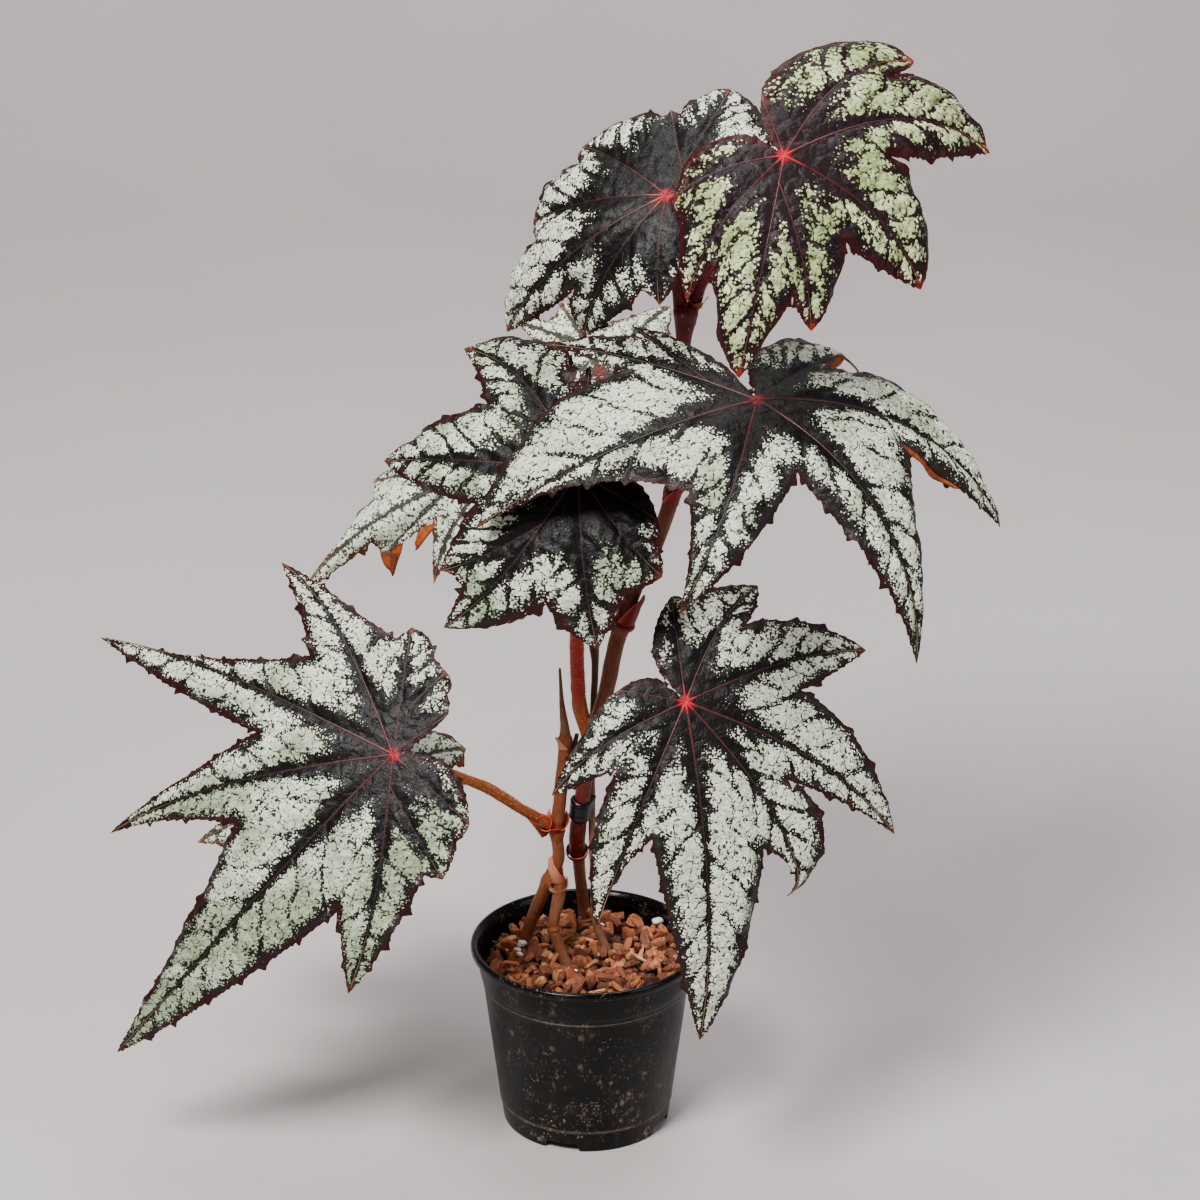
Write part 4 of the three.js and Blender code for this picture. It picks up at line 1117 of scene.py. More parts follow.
def flapMesh(flap):
    # from the margin the sheet goes a share u of its length in the hanging direction and bulges
    # by the sine of u; its length falls off to both sides
    flat, skin = leaves[flap["leaf"]]["skin"]
    rows, columns, thickness = 12, 15, 0.4
    u, v = np.linspace(0, 1, rows)[:, None], np.linspace(-1, 1, columns)
    (angle, reach), (angleEnd, reachEnd) = flap["ends"]
    share = (v + 1) / 2
    wanted = polar(angle + (angleEnd - angle) * share, reach + (reachEnd - reach) * share)
    root = skin[np.argmin(np.linalg.norm(flat[None] - wanted[:, None], axis=2), axis=1)]
    for _ in range(3):
        root[1:-1] = (root[:-2] + 2 * root[1:-1] + root[2:]) / 4
    hang = unit(np.array(flap["hang"], float))
    curl = unit(np.cross(root[-1] - root[0], hang))
    curl *= -np.sign(curl[1])
    shape = (1 - np.abs(v)) ** (0.25 + 0.65 * flap["point"]) * (1 + 0.08 * np.sin(9 * v))
    bulge = 0.9 * np.sin(2.6 * u) * (0.4 + shape)
    front = root + (flap["length"] * u * shape)[..., None] * hang + bulge[..., None] * curl
    front -= thickness * hang * (1 - u)[..., None]  # the root starts a little inside the blade
    return closedSheet(front, front - thickness * curl), sheetShade(u, np.abs(v), flap["dark"])


def sheetShade(u, v, value):
    # for both faces of a sheet: share of the length, share of the width, one value
    shade = np.stack(np.broadcast_arrays(u, v, value), -1).reshape(-1, 3)
    return np.vstack([shade, shade])


def addMerged(name, made, material, slot, replaced=(), sharp=None):
    # several meshes with their values as one piece
    meshes, values = zip(*made)
    points, faces = mergeMeshes(meshes)
    addMesh(name, points, faces, material, slot, replaced, sharp=sharp,
            vectors={"course": np.vstack(values)})


def buildFlaps():
    made = []
    for flap in flaps:
        (points, *faces), shade = flapMesh(flap)
        made.append(((insideBox(points), *faces), shade))
    material, tree = newMaterial("folded margin")
    u, _, dark = parts(attribute(tree, "course"))
    fibre = noise(objectSpot(tree), 260.0, 4.0)
    colour = blend(ramp(fibre, 0.38, 0.66), flapLook["bright"], flapLook["deep"])
    colour = blend(dark, colour, flapLook["dark"])
    colour = blend(ramp(u, 0.75, 1.0, 0.0, 0.6), colour, flapLook["dark"])
    finishMaterial(material, colour, ramp(fibre, 0.2, 0.8, 0.4, 0.6), 0.25, fibre, 0.0003)
    addMerged("leaf_folds", made, material, "blade", sharp=60)


buildFlaps()


# Stalks

stalkForm = {"sides": 20, "step": 1.1, "hairLength": (0.7, 1.6), "hairThickness": 0.10}
stalkLooks = {
    "red": {"low": (0.34, 0.070, 0.006), "high": (0.37, 0.0048, 0.0010), "fleck": (0.80, 0.34, 0.22),
            "change": (0.04, 0.24)},
    "tan": {"low": (0.22, 0.022, 0.008), "high": (0.26, 0.070, 0.011), "fleck": (0.55, 0.32, 0.15),
            "change": (0.0, 0.25)},
    "wine": {"low": (0.095, 0.0016, 0.0018), "high": (0.15, 0.0022, 0.0034), "fleck": (0.30, 0.03, 0.02),
             "change": (0.0, 1.0)},
}
# for each stalk: its colours and its hairs for each millimetre of length
stalkKinds = {"centre": ("red", 13), "lower_left": ("tan", 4), "lower_right": ("tan", 4),
              "hidden_left": ("tan", 3), "back": ("tan", 2), "back_left": ("tan", 2),
              "top": ("wine", 3), "crown": ("wine", 3), "right": ("wine", 4)}


def stalkRows(leaf):
    # the stalk ends square to the blade, just inside its under face
    facing, radius = leaf["axes"][:, 2], leaf["stalk"][-1][3]
    last = [(*(leaf["hub"] - facing * gap), radius * thicker)
            for gap, thicker in ((9, 1), (2.2, 1.15), (0.3, 1.05))]
    return leaf["stalk"] + last


def hairsOn(line, radii, perLength, rng):
    # thin three-sided spikes that stand off a stem and lean a little along it
    tangent, side, other = framesAlong(line)
    count = int(runAlong(line)[-1] * perLength)
    at = rng.integers(1, len(line) - 2, count)
    share = rng.uniform(0, 1, count)[:, None]
    turn = rng.uniform(0, 2 * np.pi, count)[:, None]
    centre = line[at] * (1 - share) + line[at + 1] * share
    out = np.cos(turn) * side[at] + np.sin(turn) * other[at]
    lean = out + tangent[at] * rng.normal(0.1, 0.3, (count, 1)) + rng.normal(0, 0.15, (count, 3))
    lean = unit(lean)
    root = centre + out * (radii[at][:, None] * 0.93)
    tip = root + lean * rng.uniform(*stalkForm["hairLength"], (count, 1))
    across = unit(np.cross(lean, tangent[at]))
    third = np.cross(lean, across)
    width = stalkForm["hairThickness"]
    thirdTurns = (0, 2.094, 4.189)
    base = [root + width * (math.cos(a) * across + math.sin(a) * third) for a in thirdTurns]
    points = np.stack([*base, tip], 1).reshape(-1, 3)
    start = np.arange(count)[:, None] * 4
    tris = np.concatenate([start + [0, 1, 3], start + [1, 2, 3], start + [2, 0, 3], start + [0, 2, 1]])
    return points, noQuads, tris


def stemMaterial(name, look):
    # colour changes along the stem by its own share, with fine streaks and pale flecks
    material, tree = newMaterial(name)
    spot, along = objectSpot(tree), attribute(tree, "course")
    streaks = noise(stretched(along, (30.0, 9.0, 1.0)), 1.0, 4.0, 0.6)
    wide = noise(spot, 60.0, 3.0)
    share = plus(parts(along)[0], times(minus(wide, 0.5), 0.3))
    colour = blend(ramp(share, *look["change"]), look["low"], look["high"])
    colour = blend(ramp(streaks, 0.42, 0.72, 0.0, 0.7), colour, tuple(0.35 * c for c in look["low"]))
    fleck = speckle(spot, 850.0, 0.16, 0.30)
    colour = blend(times(fleck, 0.5), colour, look["fleck"])
    return finishMaterial(material, colour, ramp(wide, 0.3, 0.7, 0.36, 0.55), 0.22,
                          plus(times(streaks, 0.5), fleck), 0.00022)


def hairMaterial():
    material, tree = newMaterial("stalk hair")
    fine = noise(objectSpot(tree), 400.0)
    colour = blend(ramp(fine, 0.35, 0.65), (0.62, 0.22, 0.13), (0.85, 0.55, 0.42))
    return finishMaterial(material, colour, ramp(fine, 0.2, 0.8, 0.4, 0.6))


def course(along, extra, sides):
    # for every point of a tube and its end points: place along it, turn round it, an extra value
    turn = np.abs(np.arange(sides) / sides * 2 - 1)
    rows = np.stack(np.broadcast_arrays(along[:, None], turn, extra[:, None]), -1).reshape(-1, 3)
    return np.vstack([rows, [along[0], 0, extra[0]], [along[-1], 0, extra[-1]]])


def buildStalks():
    skins = {key: stemMaterial("stalk " + key, look) for key, look in stalkLooks.items()}
    hairs = []
    sides = stalkForm["sides"]
    for number, (name, leaf) in enumerate(leaves.items()):
        rng = np.random.default_rng(300 + number)
        kind, perLength = stalkKinds[name]
        rows = stalkRows(leaf)
        count = int(runAlong(np.array(rows)[:, :3])[-1] / stalkForm["step"])
        line, run = smoothLine(rows, count)
        base = 1 + 0.35 * np.exp(-run / 4.0)  # swollen foot where it leaves the cane
        uneven = 1 + 0.035 * ripples(run[:, None], 14, 40 + number)
        ribs = 1 + 0.03 * np.cos(5 * around(sides) + number)
        points, *faces = tube(line[:, :3], (line[:, 3] * base * uneven)[:, None] * ribs)
        addMesh("stalk_" + name, points, faces, skins[kind],
                "petiole_red" if kind == "red" else "petiole", ["petiole_" + name],
                vectors={"course": course(np.linspace(0, 1, count), np.zeros(count), sides)})
        hairs.append(hairsOn(line[:, :3], line[:, 3] * uneven, perLength, rng))
    points, faces = mergeMeshes(hairs)
    addMesh("stalk_hairs", points, faces, hairMaterial(), "petiole", smooth=False)


buildStalks()
print("stalks made")


# Canes

canes = {
    "main": {
        "rows": [(-1, 46.5, 76, 3.2), (-1.2, 45.5, 96, 3.2), (-2.7, 36, 114.9, 3.1), (-3.8, 25, 134, 3.2),
                 (-4.6, 15, 152, 4.2), (-2.4, 8, 173.1, 4), (2.2, 3, 210, 4), (9.3, 0, 237.7, 4),
                 (17.2, 0, 276, 4.2), (27.2, 0, 306.3, 4), (35.6, 0, 325.2, 3.9), (42.4, 0, 348.3, 3.8),
                 (47.2, 0, 395, 3.5), (48, 0, 430, 3.8), (48.7, 0, 440, 5.3), (49, 0, 446, 6.4),
                 (49.2, 0, 449, 5.4)],
        # height, swelling, half height of each node
        "nodes": [(142.5, 1.1, 3.6), (222, 1.4, 4), (280, 1.2, 4), (351, 0.9, 4)],
        # height and colour key: grey below 0, pale at 0, brown at 0.4, red at 1
        "tone": [(76, 0.10), (128, 0.12), (138, 0.3), (142, 1.0), (166, 1.0), (184, 0.75), (215, 0.48),
                 (232, 0.32), (266, 0.36), (277, 0.5), (283, 1.0), (315, 0.9), (335, 0.42),
                 (352, 0.75), (372, 1.0), (450, 1.1)],
    },
    "left": {
        "rows": [(-34.5, 19, 76, 3.1), (-31.9, 16.9, 91, 3.2), (-26, 12, 113, 3.2), (-19.3, 8, 131, 3.4),
                 (-14.2, 6.5, 145, 3.2), (-14.8, 5.5, 158, 3.1), (-14.4, 5, 168, 3.4),
                 (-13, 5, 181, 3.4), (-11.8, 5, 197, 3.2), (-10.4, 5, 214, 2.8), (-12, 5, 234, 1.3),
                 (-13, 5, 253, 0.6)],
        "nodes": [(131, 0.8, 4), (162, 1.2, 4), (213, 1.0, 3.4)],
        "tone": [(76, 0.30), (118, 0.24), (133, 0.45), (158, 0.35), (166, 0.6), (180, 0.5),
                 (205, 0.40), (216, 0.35), (226, 0.0), (253, -0.1)],
    },
    "prop": {
        "rows": [(-13.6, 7, 134, 3), (-14, 5.5, 124, 3.4), (-16.8, 1.6, 109, 2.9),
                 (-15, -.2, 101, 3), (-5, -3, 76, 3.1)],
        "nodes": [(106.5, 0.9, 1.1)],
        "tone": [(76, -0.5), (92, 0.1), (104, 0.3), (108, 0.35), (113, 0.15), (134, 0.3)],
    },
    "stub": {
        "rows": [(-9.2, 6.5, 196, 1.7), (-6.4, 7, 206, 1.5), (-4.4, 7, 215.4, 1.1)],
        "nodes": [],
        "tone": [(190, -0.6), (216, -0.8)],
    },
    "thin": {
        "rows": [(14.5, 3.5, 76, 2.3), (11.5, 4.7, 90, 2.3), (5.7, 8, 105.4, 2.2),
                 (4.3, 10.5, 130.1, 2.1), (3.6, 12, 147, 1.9), (3, 12.4, 173, 1.8),
                 (3.2, 13, 200, 1.8), (4, 14.5, 228, 1.75),
                 (4.8, 17, 250, 1.9), (4.2, 19, 260, 2.6), (3, 24, 272, 2), (2.2, 30, 284, 1.5)],
        "nodes": [(147, 0.4, 2.5), (214, 0.4, 2.5)],
        "tone": [(76, -0.15), (130, 0.0), (150, 0.1), (180, 0.1), (215, -0.25), (284, -0.2)],
    },
}
caneForm = {"sides": 28, "step": 0.8, "unevenness": 0.035}
caneLook = {"grey": (0.024, 0.013, 0.005), "pale": (0.21, 0.088, 0.050), "brown": (0.185, 0.052, 0.0145),
            "red": (0.090, 0.0022, 0.0018), "fleck": (0.44, 0.22, 0.11)}


def caneTube(cane, seed):
    # a tube whose radius swells at each node into a ring with a scar line above it
    sides = caneForm["sides"]
    rows = np.array(cane["rows"], float)
    line, run = smoothLine(rows, int(runAlong(rows[:, :3])[-1] / caneForm["step"]))
    radius = line[:, 3].copy()
    for height, swell, half in cane["nodes"]:
        at = run[np.argmin(np.abs(line[:, 2] - height))]
        radius += swell * np.exp(-((run - at) / half) ** 2)
        radius -= 0.35 * np.exp(-((run - at - half * 0.9) / 0.7) ** 2)
    turn = around(sides)
    skin = np.stack(np.broadcast_arrays(6 * np.cos(turn), 6 * np.sin(turn), run[:, None] * 0.35), -1)
    uneven = 1 + caneForm["unevenness"] * ripples(skin, 5, seed)
    tone = np.interp(line[:, 2], *np.array(cane["tone"]).T)
    return tube(line[:, :3], radius[:, None] * uneven), course(run / 100, tone, sides)


def caneMaterial():
    material, tree = newMaterial("cane bark")
    spot, along = objectSpot(tree), attribute(tree, "course")
    streaks = noise(stretched(along, (22.0, 14.0, 0.0)), 1.0, 5.0, 0.65)
    key = plus(parts(along)[2], times(minus(noise(spot, 45.0, 4.0), 0.5), 0.55))
    colour = blend(ramp(key, -0.4, 0.02), caneLook["grey"], caneLook["pale"])
    colour = blend(ramp(key, 0.05, 0.40), colour, caneLook["brown"])
    colour = blend(ramp(key, 0.45, 0.85), colour, caneLook["red"])
    darker = tuple(0.2 * c for c in caneLook["brown"])
    colour = blend(ramp(streaks, 0.44, 0.72, 0.0, 0.75), colour, darker)
    marks = speckle(stretched(spot, (1, 1, 0.45)), 620.0, 0.12, 0.30)
    colour = blend(times(marks, 0.55), colour, caneLook["fleck"])
    return finishMaterial(material, colour, ramp(streaks, 0.3, 0.8, 0.38, 0.62), 0.24,
                          plus(streaks, times(marks, 0.5)), 0.0003)


# Papery sheaths wrapped round the stems at the nodes: a point on the stem's axis, the axis'
# direction, the stem's radius there, the azimuth that the sheath faces, the half angle that
# it wraps, its length, how far its tip stands off, and how red it is
sheaths = [
    {"at": (-14.8, 5, 161.5), "axis": (0, 0, 1), "radius": 4.2, "turn": -95, "wrap": 140, "length": 9.5,
     "spread": 2.6, "red": 0.95, "cup": 1},
    {"at": (-17.2, 3.6, 165), "axis": (-.8, -.4, .55), "radius": 3.3, "turn": -100, "wrap": 150,
     "length": 8, "spread": 0.8, "red": 0.9, "cup": 1},
    {"at": (-4.3, 20.5, 140), "axis": (-.1, -.45, 1), "radius": 5.0, "turn": -110, "wrap": 176,
     "length": 5, "spread": 0.9, "red": 0.8, "cup": 1, "dip": 0.3, "bulge": 0.5},
    {"at": (18.6, 0, 277.6), "axis": (.28, 0, 1), "radius": 5.2, "turn": -80, "wrap": 178,
     "length": 5, "spread": -0.5, "red": 1.0, "cup": 1, "dip": 0.15, "bulge": 1.0},
    {"at": (19, 0, 279.5), "axis": (.34, 0, 1), "radius": 5.4, "turn": -36, "wrap": 100, "length": 20,
     "spread": 0.2, "red": 1.0},
    {"at": (19, 0, 279.5), "axis": (.28, 0, 1), "radius": 4.6, "turn": 165, "wrap": 85, "length": 12,
     "spread": 1.2, "red": 0.95},
    {"at": (42, 0, 345), "axis": (.2, 0, 1), "radius": 4.4, "turn": -50, "wrap": 100, "length": 12,
     "spread": 1.2, "red": 0.9},
    {"at": (53.2, -.4, 448.5), "axis": (.32, 0, 1), "radius": 3.4, "turn": -120, "wrap": 110,
     "length": 6.5, "spread": 1.4, "red": 0.9, "cup": 1},
    {"at": (-14.6, 6.5, 132), "axis": (.05, 0, 1), "radius": 3.5, "turn": 205, "wrap": 115, "length": 15,
     "spread": 0.8, "red": 0.3, "bulge": 1.7},
    {"at": (-15.2, 6.5, 127), "axis": (.25, 0, 1), "radius": 4.6, "turn": -95, "wrap": 140, "length": 6,
     "spread": 1.0, "red": 0.25, "cup": 1},
    {"at": (-14.2, 6.5, 133), "axis": (.1, 0, 1), "radius": 3.9, "turn": 120, "wrap": 70, "length": 12,
     "spread": 2.0, "red": 0.5},
    {"at": (-16.2, .6, 104.5), "axis": (-.15, .2, 1), "radius": 3.3, "turn": -90, "wrap": 178,
     "length": 3, "spread": 0.7, "red": 0.2, "cup": 1},
    {"at": (-10.6, 5, 209), "axis": (0, 0, 1), "radius": 3.6, "turn": 215, "wrap": 80, "length": 7,
     "spread": 1.6, "red": 0.4},
]


sheathForm = {"rows": 22, "columns": 19, "thickness": 0.35}


def sheathMesh(sheath, seed):
    # a scale round a stem: its half angle shrinks as (1.02 - u)^0.6 along its length u, or stays
    # for a cup, whose rim is low in the middle; its radius grows with u squared, and a second
    # face closes it
    rng = np.random.default_rng(seed)
    axis = unit(np.array(sheath["axis"], float))
    turn = math.radians(sheath["turn"])
    out = np.array([math.cos(turn), math.sin(turn), 0])
    out = unit(out - axis * (axis @ out))
    side = np.cross(axis, out)
    u = np.linspace(0, 1, sheathForm["rows"])[:, None]
    v = np.linspace(-1, 1, sheathForm["columns"])[None, :]
    cup = sheath.get("cup", 0)
    angle = math.radians(sheath["wrap"]) * v * (cup + (1 - cup) * (1.02 - u) ** 0.6)
    lip = 0.55 * np.abs(v) ** 8 + 0.25 * np.sin(9 * v + 7 * u + rng.uniform(0, 6)) * u
    radius = sheath["radius"] + sheath["spread"] * u ** 2 + lip * (1 - 0.6 * cup)
    radius = radius + sheath.get("bulge", 0) * np.sin(np.pi * u)
    ragged = 0.08 * np.sin(11 * v + rng.uniform(0, 6)) + 0.05 * np.sin(23 * v + rng.uniform(0, 6))
    low = 1 - sheath.get("dip", 0.65) * (1 - np.abs(v) ** 1.6) + ragged
    rise = u * sheath["length"] * np.where(cup > 0, low, 1 - 0.10 * v ** 2)
    way = np.cos(angle)[..., None] * out + np.sin(angle)[..., None] * side
    centre = np.array(sheath["at"], float) + rise[..., None] * axis
    front = centre + radius[..., None] * way
    back = centre + (radius - sheathForm["thickness"])[..., None] * way
    rimmed = np.maximum(np.abs(v), u ** 3) if cup else np.abs(v)
    return closedSheet(front, back), sheetShade(u, rimmed, sheath["red"])


sheathLook = {"red": (0.19, 0.0030, 0.0022), "pink": (0.50, 0.060, 0.048), "tan": (0.46, 0.17, 0.09),
              "dark": (0.07, 0.010, 0.006)}


def sheathMaterial():
    material, tree = newMaterial("node sheath")
    along = attribute(tree, "course")
    u, v, red = parts(along)
    fibre = noise(stretched(along, (2.0, 16.0, 3.0)), 1.0, 4.0)
    colour = blend(ramp(red, 0.3, 0.8), sheathLook["tan"], sheathLook["red"])
    colour = blend(times(ramp(v, 0.72, 0.98), 0.85), colour, sheathLook["pink"])
    colour = blend(ramp(fibre, 0.5, 0.75, 0.0, 0.6), colour, sheathLook["dark"])
    colour = blend(ramp(u, 0.8, 1.0, 0.0, 0.5), colour, sheathLook["tan"])
    return finishMaterial(material, colour, ramp(fibre, 0.2, 0.8, 0.35, 0.6), 0.25, fibre, 0.0002)


def buildCanes():
    skin = caneMaterial()
    made = {name: caneTube(cane, 500 + 9 * i) for i, (name, cane) in enumerate(canes.items())}
    for piece, names, slot, node in (("stem_main", ["main"], "cane", "cane_main"),
                                     ("stem_left", ["left", "prop", "stub"], "cane", "cane_left"),
                                     ("stem_thin", ["thin"], "cane_thin", "cane_thin")):
        addMerged(piece, [made[name] for name in names], skin, slot, [node])
    scales = [sheathMesh(sheath, 700 + i) for i, sheath in enumerate(sheaths)]
    addMerged("node_sheaths", scales, sheathMaterial(), "cane", sharp=60)


buildCanes()
print("canes made")


# Tie

tie = {"centre": (0, 10.2, 173), "ends": ((-2.6, 8), (2.6, 12.4)), "radii": (3.9, 0.4), "height": 12.4,
       "wall": 2.2, "lean": (9, 5), "turns": 96, "sides": 64, "cornerPower": 0.34,
       "black": (0.0020, 0.0013, 0.0022), "worn": (0.0065, 0.0042, 0.0062), "dust": (0.18, 0.13, 0.10)}


def tieMesh():
    # a rounded band carried round two canes: the path is two arcs joined by straight runs,
    # and the section is a rounded box with shallow grooves
    way = np.subtract(tie["ends"][1], tie["ends"][0])
    half = np.linalg.norm(way) / 2
    arc = np.linspace(-np.pi / 2, np.pi / 2, tie["turns"] // 2)
    left, right = tie["radii"]
    rightArc = np.stack([half + right * np.cos(arc), right * np.sin(arc)], -1)
    leftArc = np.stack([-half - left * np.cos(arc), -left * np.sin(arc)], -1)
    straight = np.linspace(0, 1, 14)[1:-1, None]
    path = np.vstack([rightArc, rightArc[-1] * (1 - straight) + leftArc[0] * straight,
                      leftArc, leftArc[-1] * (1 - straight) + rightArc[0] * straight])
    ahead = unit(np.roll(path, -1, 0) - np.roll(path, 1, 0))
    out = np.stack([ahead[:, 1], -ahead[:, 0]], -1)
    t = around(tie["sides"])
    depth, rise = (np.sign(wave) * np.abs(wave) ** tie["cornerPower"] * size / 2
                   for wave, size in ((np.cos(t), tie["wall"]), (np.sin(t), tie["height"] * 0.985)))
    # four rounded windings side by side, and a belly in the middle of the band
    groove = 0.45 * np.abs(np.sin(rise / tie["height"] * 4 * np.pi + np.pi / 2)) ** 3
    belly = 0.5 * (rise / tie["height"] * 2) ** 2
    depth = depth + tie["wall"] / 2 - (groove + belly) * (np.cos(t) > 0)
    sag = 0.25 * np.sin(np.linspace(0, 4 * np.pi, len(path)))[:, None]
    flat = path[:, None] + depth[None, :, None] * out[:, None]
    points = np.concatenate([flat, (rise + sag)[..., None]], -1).reshape(-1, 3)
    facing = turnMatrices(np.array([[0, 0, math.atan2(way[1], way[0])]]))[0]
    lean = turnMatrices(np.radians([[*tie["lean"], 0]]))[0]
    quads = gridFaces(len(path), tie["sides"], True, True)
    return points @ facing.T @ lean.T + tie["centre"], np.roll(quads[:, ::-1], 1, axis=1)


def buildTie():
    points, quads = tieMesh()
    material, tree = newMaterial("tie rubber")
    spot = objectSpot(tree)
    wide = noise(spot, 160.0, 4.0)
    colour = blend(ramp(wide, 0.4, 0.75), tie["black"], tie["worn"])
    colour = blend(times(speckle(spot, 900.0, 0.15, 0.3), 0.4), colour, tie["dust"])
    lines = noise(stretched(spot, (60.0, 60.0, 900.0)), 1.0)
    finishMaterial(material, colour, ramp(wide, 0.3, 0.7, 0.26, 0.4), 0.3, lines, 0.0002)
    addMesh("plant_tie", points, [quads], material, "tie", ["tie"])


buildTie()
print("tie made")


# Pot

pot = {
    "height": 101, "rimRadius": 60, "rimWidth": 4, "collarRadius": 55.6, "collarBottom": 84,
    "footRadius": 43.5, "wall": 1.3, "floor": 5, "bodyTop": 79, "bodyRadius": 53.3,
    "notchAngles": (-97, -17, 65, 155), "notchWidth": 19, "notchHeight": 4.4, "sides": 288,
    "shrink": 0.998,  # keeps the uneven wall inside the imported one
}


def rounded(profile, times):
    # corner cutting: every edge of the closed line is replaced by its middle part
    for _ in range(times):
        after = np.roll(profile, -1, 0)
        profile = np.stack([0.8 * profile + 0.2 * after, 0.2 * profile + 0.8 * after], 1).reshape(-1, 2)
    return profile


def potProfile():
    # radius and height along the pot's section: floor, foot, wall, collar, lip, and back inside
    top, wall, foot, floor = pot["height"], pot["wall"], pot["footRadius"], pot["floor"]
    body, collar, rim = pot["bodyRadius"], pot["collarRadius"], pot["rimRadius"]
    high, low = pot["bodyTop"], pot["collarBottom"]
    wallFoot, wallTop = 12.0, high - 1.2
    outside = [(foot + 1.7 + (body - foot - 1.7) * t, wallFoot + (wallTop - wallFoot) * t)
               for t in np.linspace(0.02, 1, 14)]
    inside = [(body - wall + (foot + 1.2 - body) * t, high + (floor + wall - high) * t)
              for t in np.linspace(0, 1, 8)]
    return np.array([
        (8, floor), (foot - 4, floor), (foot - 2.6, floor - 0.6), (foot - 2.3, 0.6), (foot - 2.0, 0),
        (foot - 0.5, 0), (foot, 0.5), (foot + 0.5, 5), (foot + 1.1, 10.6), (foot + 1.25, 11.0),
        (foot + 1.75, 11.2), (foot + 1.75, 11.9), (foot + 1.62, 12.1), *outside,
        (body + 0.1, high - 0.9), (body + 0.42, high - 0.5), (body + 0.45, high + 0.3),
        (body + 0.6, high + 2.5), (body + 1.3, low - 1.2), (collar - 0.3, low + 2), (collar, low + 5),
        (collar + 0.3, top - 7), (collar + 0.5, top - 5.2), (rim - 1.4, top - 4.8),
        (rim - 0.2, top - 3.9), (rim - 0.02, top - 2.2), (rim - 0.6, top - 0.7), (rim - 1.7, top - 0.02),
        (rim - 3.0, top - 0.25), (collar - wall + 0.5, top - 2.8), (collar - wall + 0.1, top - 6),
        (collar - wall, low + 5), (body - wall + 0.8, low - 2), *inside, (8, floor + wall)])


def latheMesh(profile, sides, change):
    # a closed profile turned round the axis: one ring of quads for each edge of the profile
    turn = around(sides)
    radius, height = change(*(column[:, None] * np.ones((1, sides)) for column in profile.T), turn)
    points = np.stack([radius * np.cos(turn), radius * np.sin(turn), height], -1).reshape(-1, 3)
    return points, gridFaces(len(profile), sides, True, True)


def potChange(radius, height, turn):
    # drain notches lift the foot ring where they are, and the wall is very slightly out of round
    degrees = np.degrees(turn)
    lift = np.zeros_like(turn)
    halfTurn = math.degrees(pot["notchWidth"] / 2 / pot["footRadius"])
    for angle in pot["notchAngles"]:
        gap = np.abs((degrees - (angle - 90) + 180) % 360 - 180)
        lift = np.maximum(lift, pot["notchHeight"] * (1 - step(gap, halfTurn - 1.6, halfTurn)))
    footRing = radius > pot["footRadius"] - 3.2
    height = np.where(footRing, np.maximum(height, lift), height)
    roundness = 1 + 0.0012 * np.cos(2 * turn + 0.6) + 0.0008 * np.cos(3 * turn + 2)
    return radius * roundness * pot["shrink"], height


potLook = {"plastic": (0.0011, 0.0011, 0.0013), "worn": (0.0026, 0.0024, 0.0024),
           "dust": (0.24, 0.17, 0.12), "film": (0.014, 0.0105, 0.008)}


def potMaterial():
    material, tree = newMaterial("nursery pot plastic")
    spot = objectSpot(tree)
    height = parts(spot)[2]
    low = ramp(height, 0.0, 0.080, 1.0, 0.35)
    wide = noise(spot, 22.0, 4.0, 0.6)
    blotch = noise(spot, 70.0, 5.0, 0.65)
    tall = stretched(spot, (1.0, 1.0, 0.8))
    patches = ramp(noise(spot, 55.0, 4.0), 0.50, 0.62)
    # dry splashes: clusters of large and small specks and torn smears, thicker near the foot
    big, small = speckle(tall, 430.0, 0.38, 0.36), speckle(tall, 850.0, 0.50, 0.44)
    smear = noise(stretched(spot, (260.0, 260.0, 160.0)), 1.0, 6.0, 0.75)
    smear = times(ramp(smear, 0.53, 0.64), ramp(blotch, 0.49, 0.58))
    loose = times(small, ramp(blotch, 0.42, 0.6, 0.0, 0.5))
    dirt = times(larger(larger(times(larger(big, small), patches), loose), smear), low)
    film = times(ramp(plus(wide, times(blotch, 0.6)), 0.66, 1.0), low)
    # two bright lines: the ring above the foot and the step below the collar
    ring, ledge = (put("Math", {0: height, 1: level, 2: half}, operation="COMPARE")[0]
                   for level, half in ((0.0122, 0.0008), (0.0797, 0.0005)))
    lines = times(larger(ring, ledge), ramp(blotch, 0.35, 0.6, 0.25))
    colour = blend(ramp(wide, 0.35, 0.7), potLook["plastic"], potLook["worn"])
    colour = blend(times(film, 0.5), colour, potLook["film"])
    colour = blend(times(dirt, 0.8), colour, potLook["dust"])
    colour = blend(times(lines, 0.34), colour, potLook["dust"])
    rough = plus(ramp(blotch, 0.3, 0.7, 0.30, 0.42), times(dirt, 0.35))
    rough = times(rough, ramp(height, 0.090, 0.096, 1.0, 0.5))
    scratches = noise(stretched(spot, (240.0, 240.0, 12.0)), 1.0, 3.0)
    bumps = plus(times(noise(spot, 1500.0), 0.25), plus(scratches, dirt))
    return finishMaterial(material, colour, rough, 0.18, bumps, 0.00012)


def buildPot():
    points, quads = latheMesh(rounded(potProfile(), 2), pot["sides"], potChange)
    addMesh("nursery_pot", points, [quads], potMaterial(), "pot", ["pot"])


buildPot()
print("pot made")


# Bark

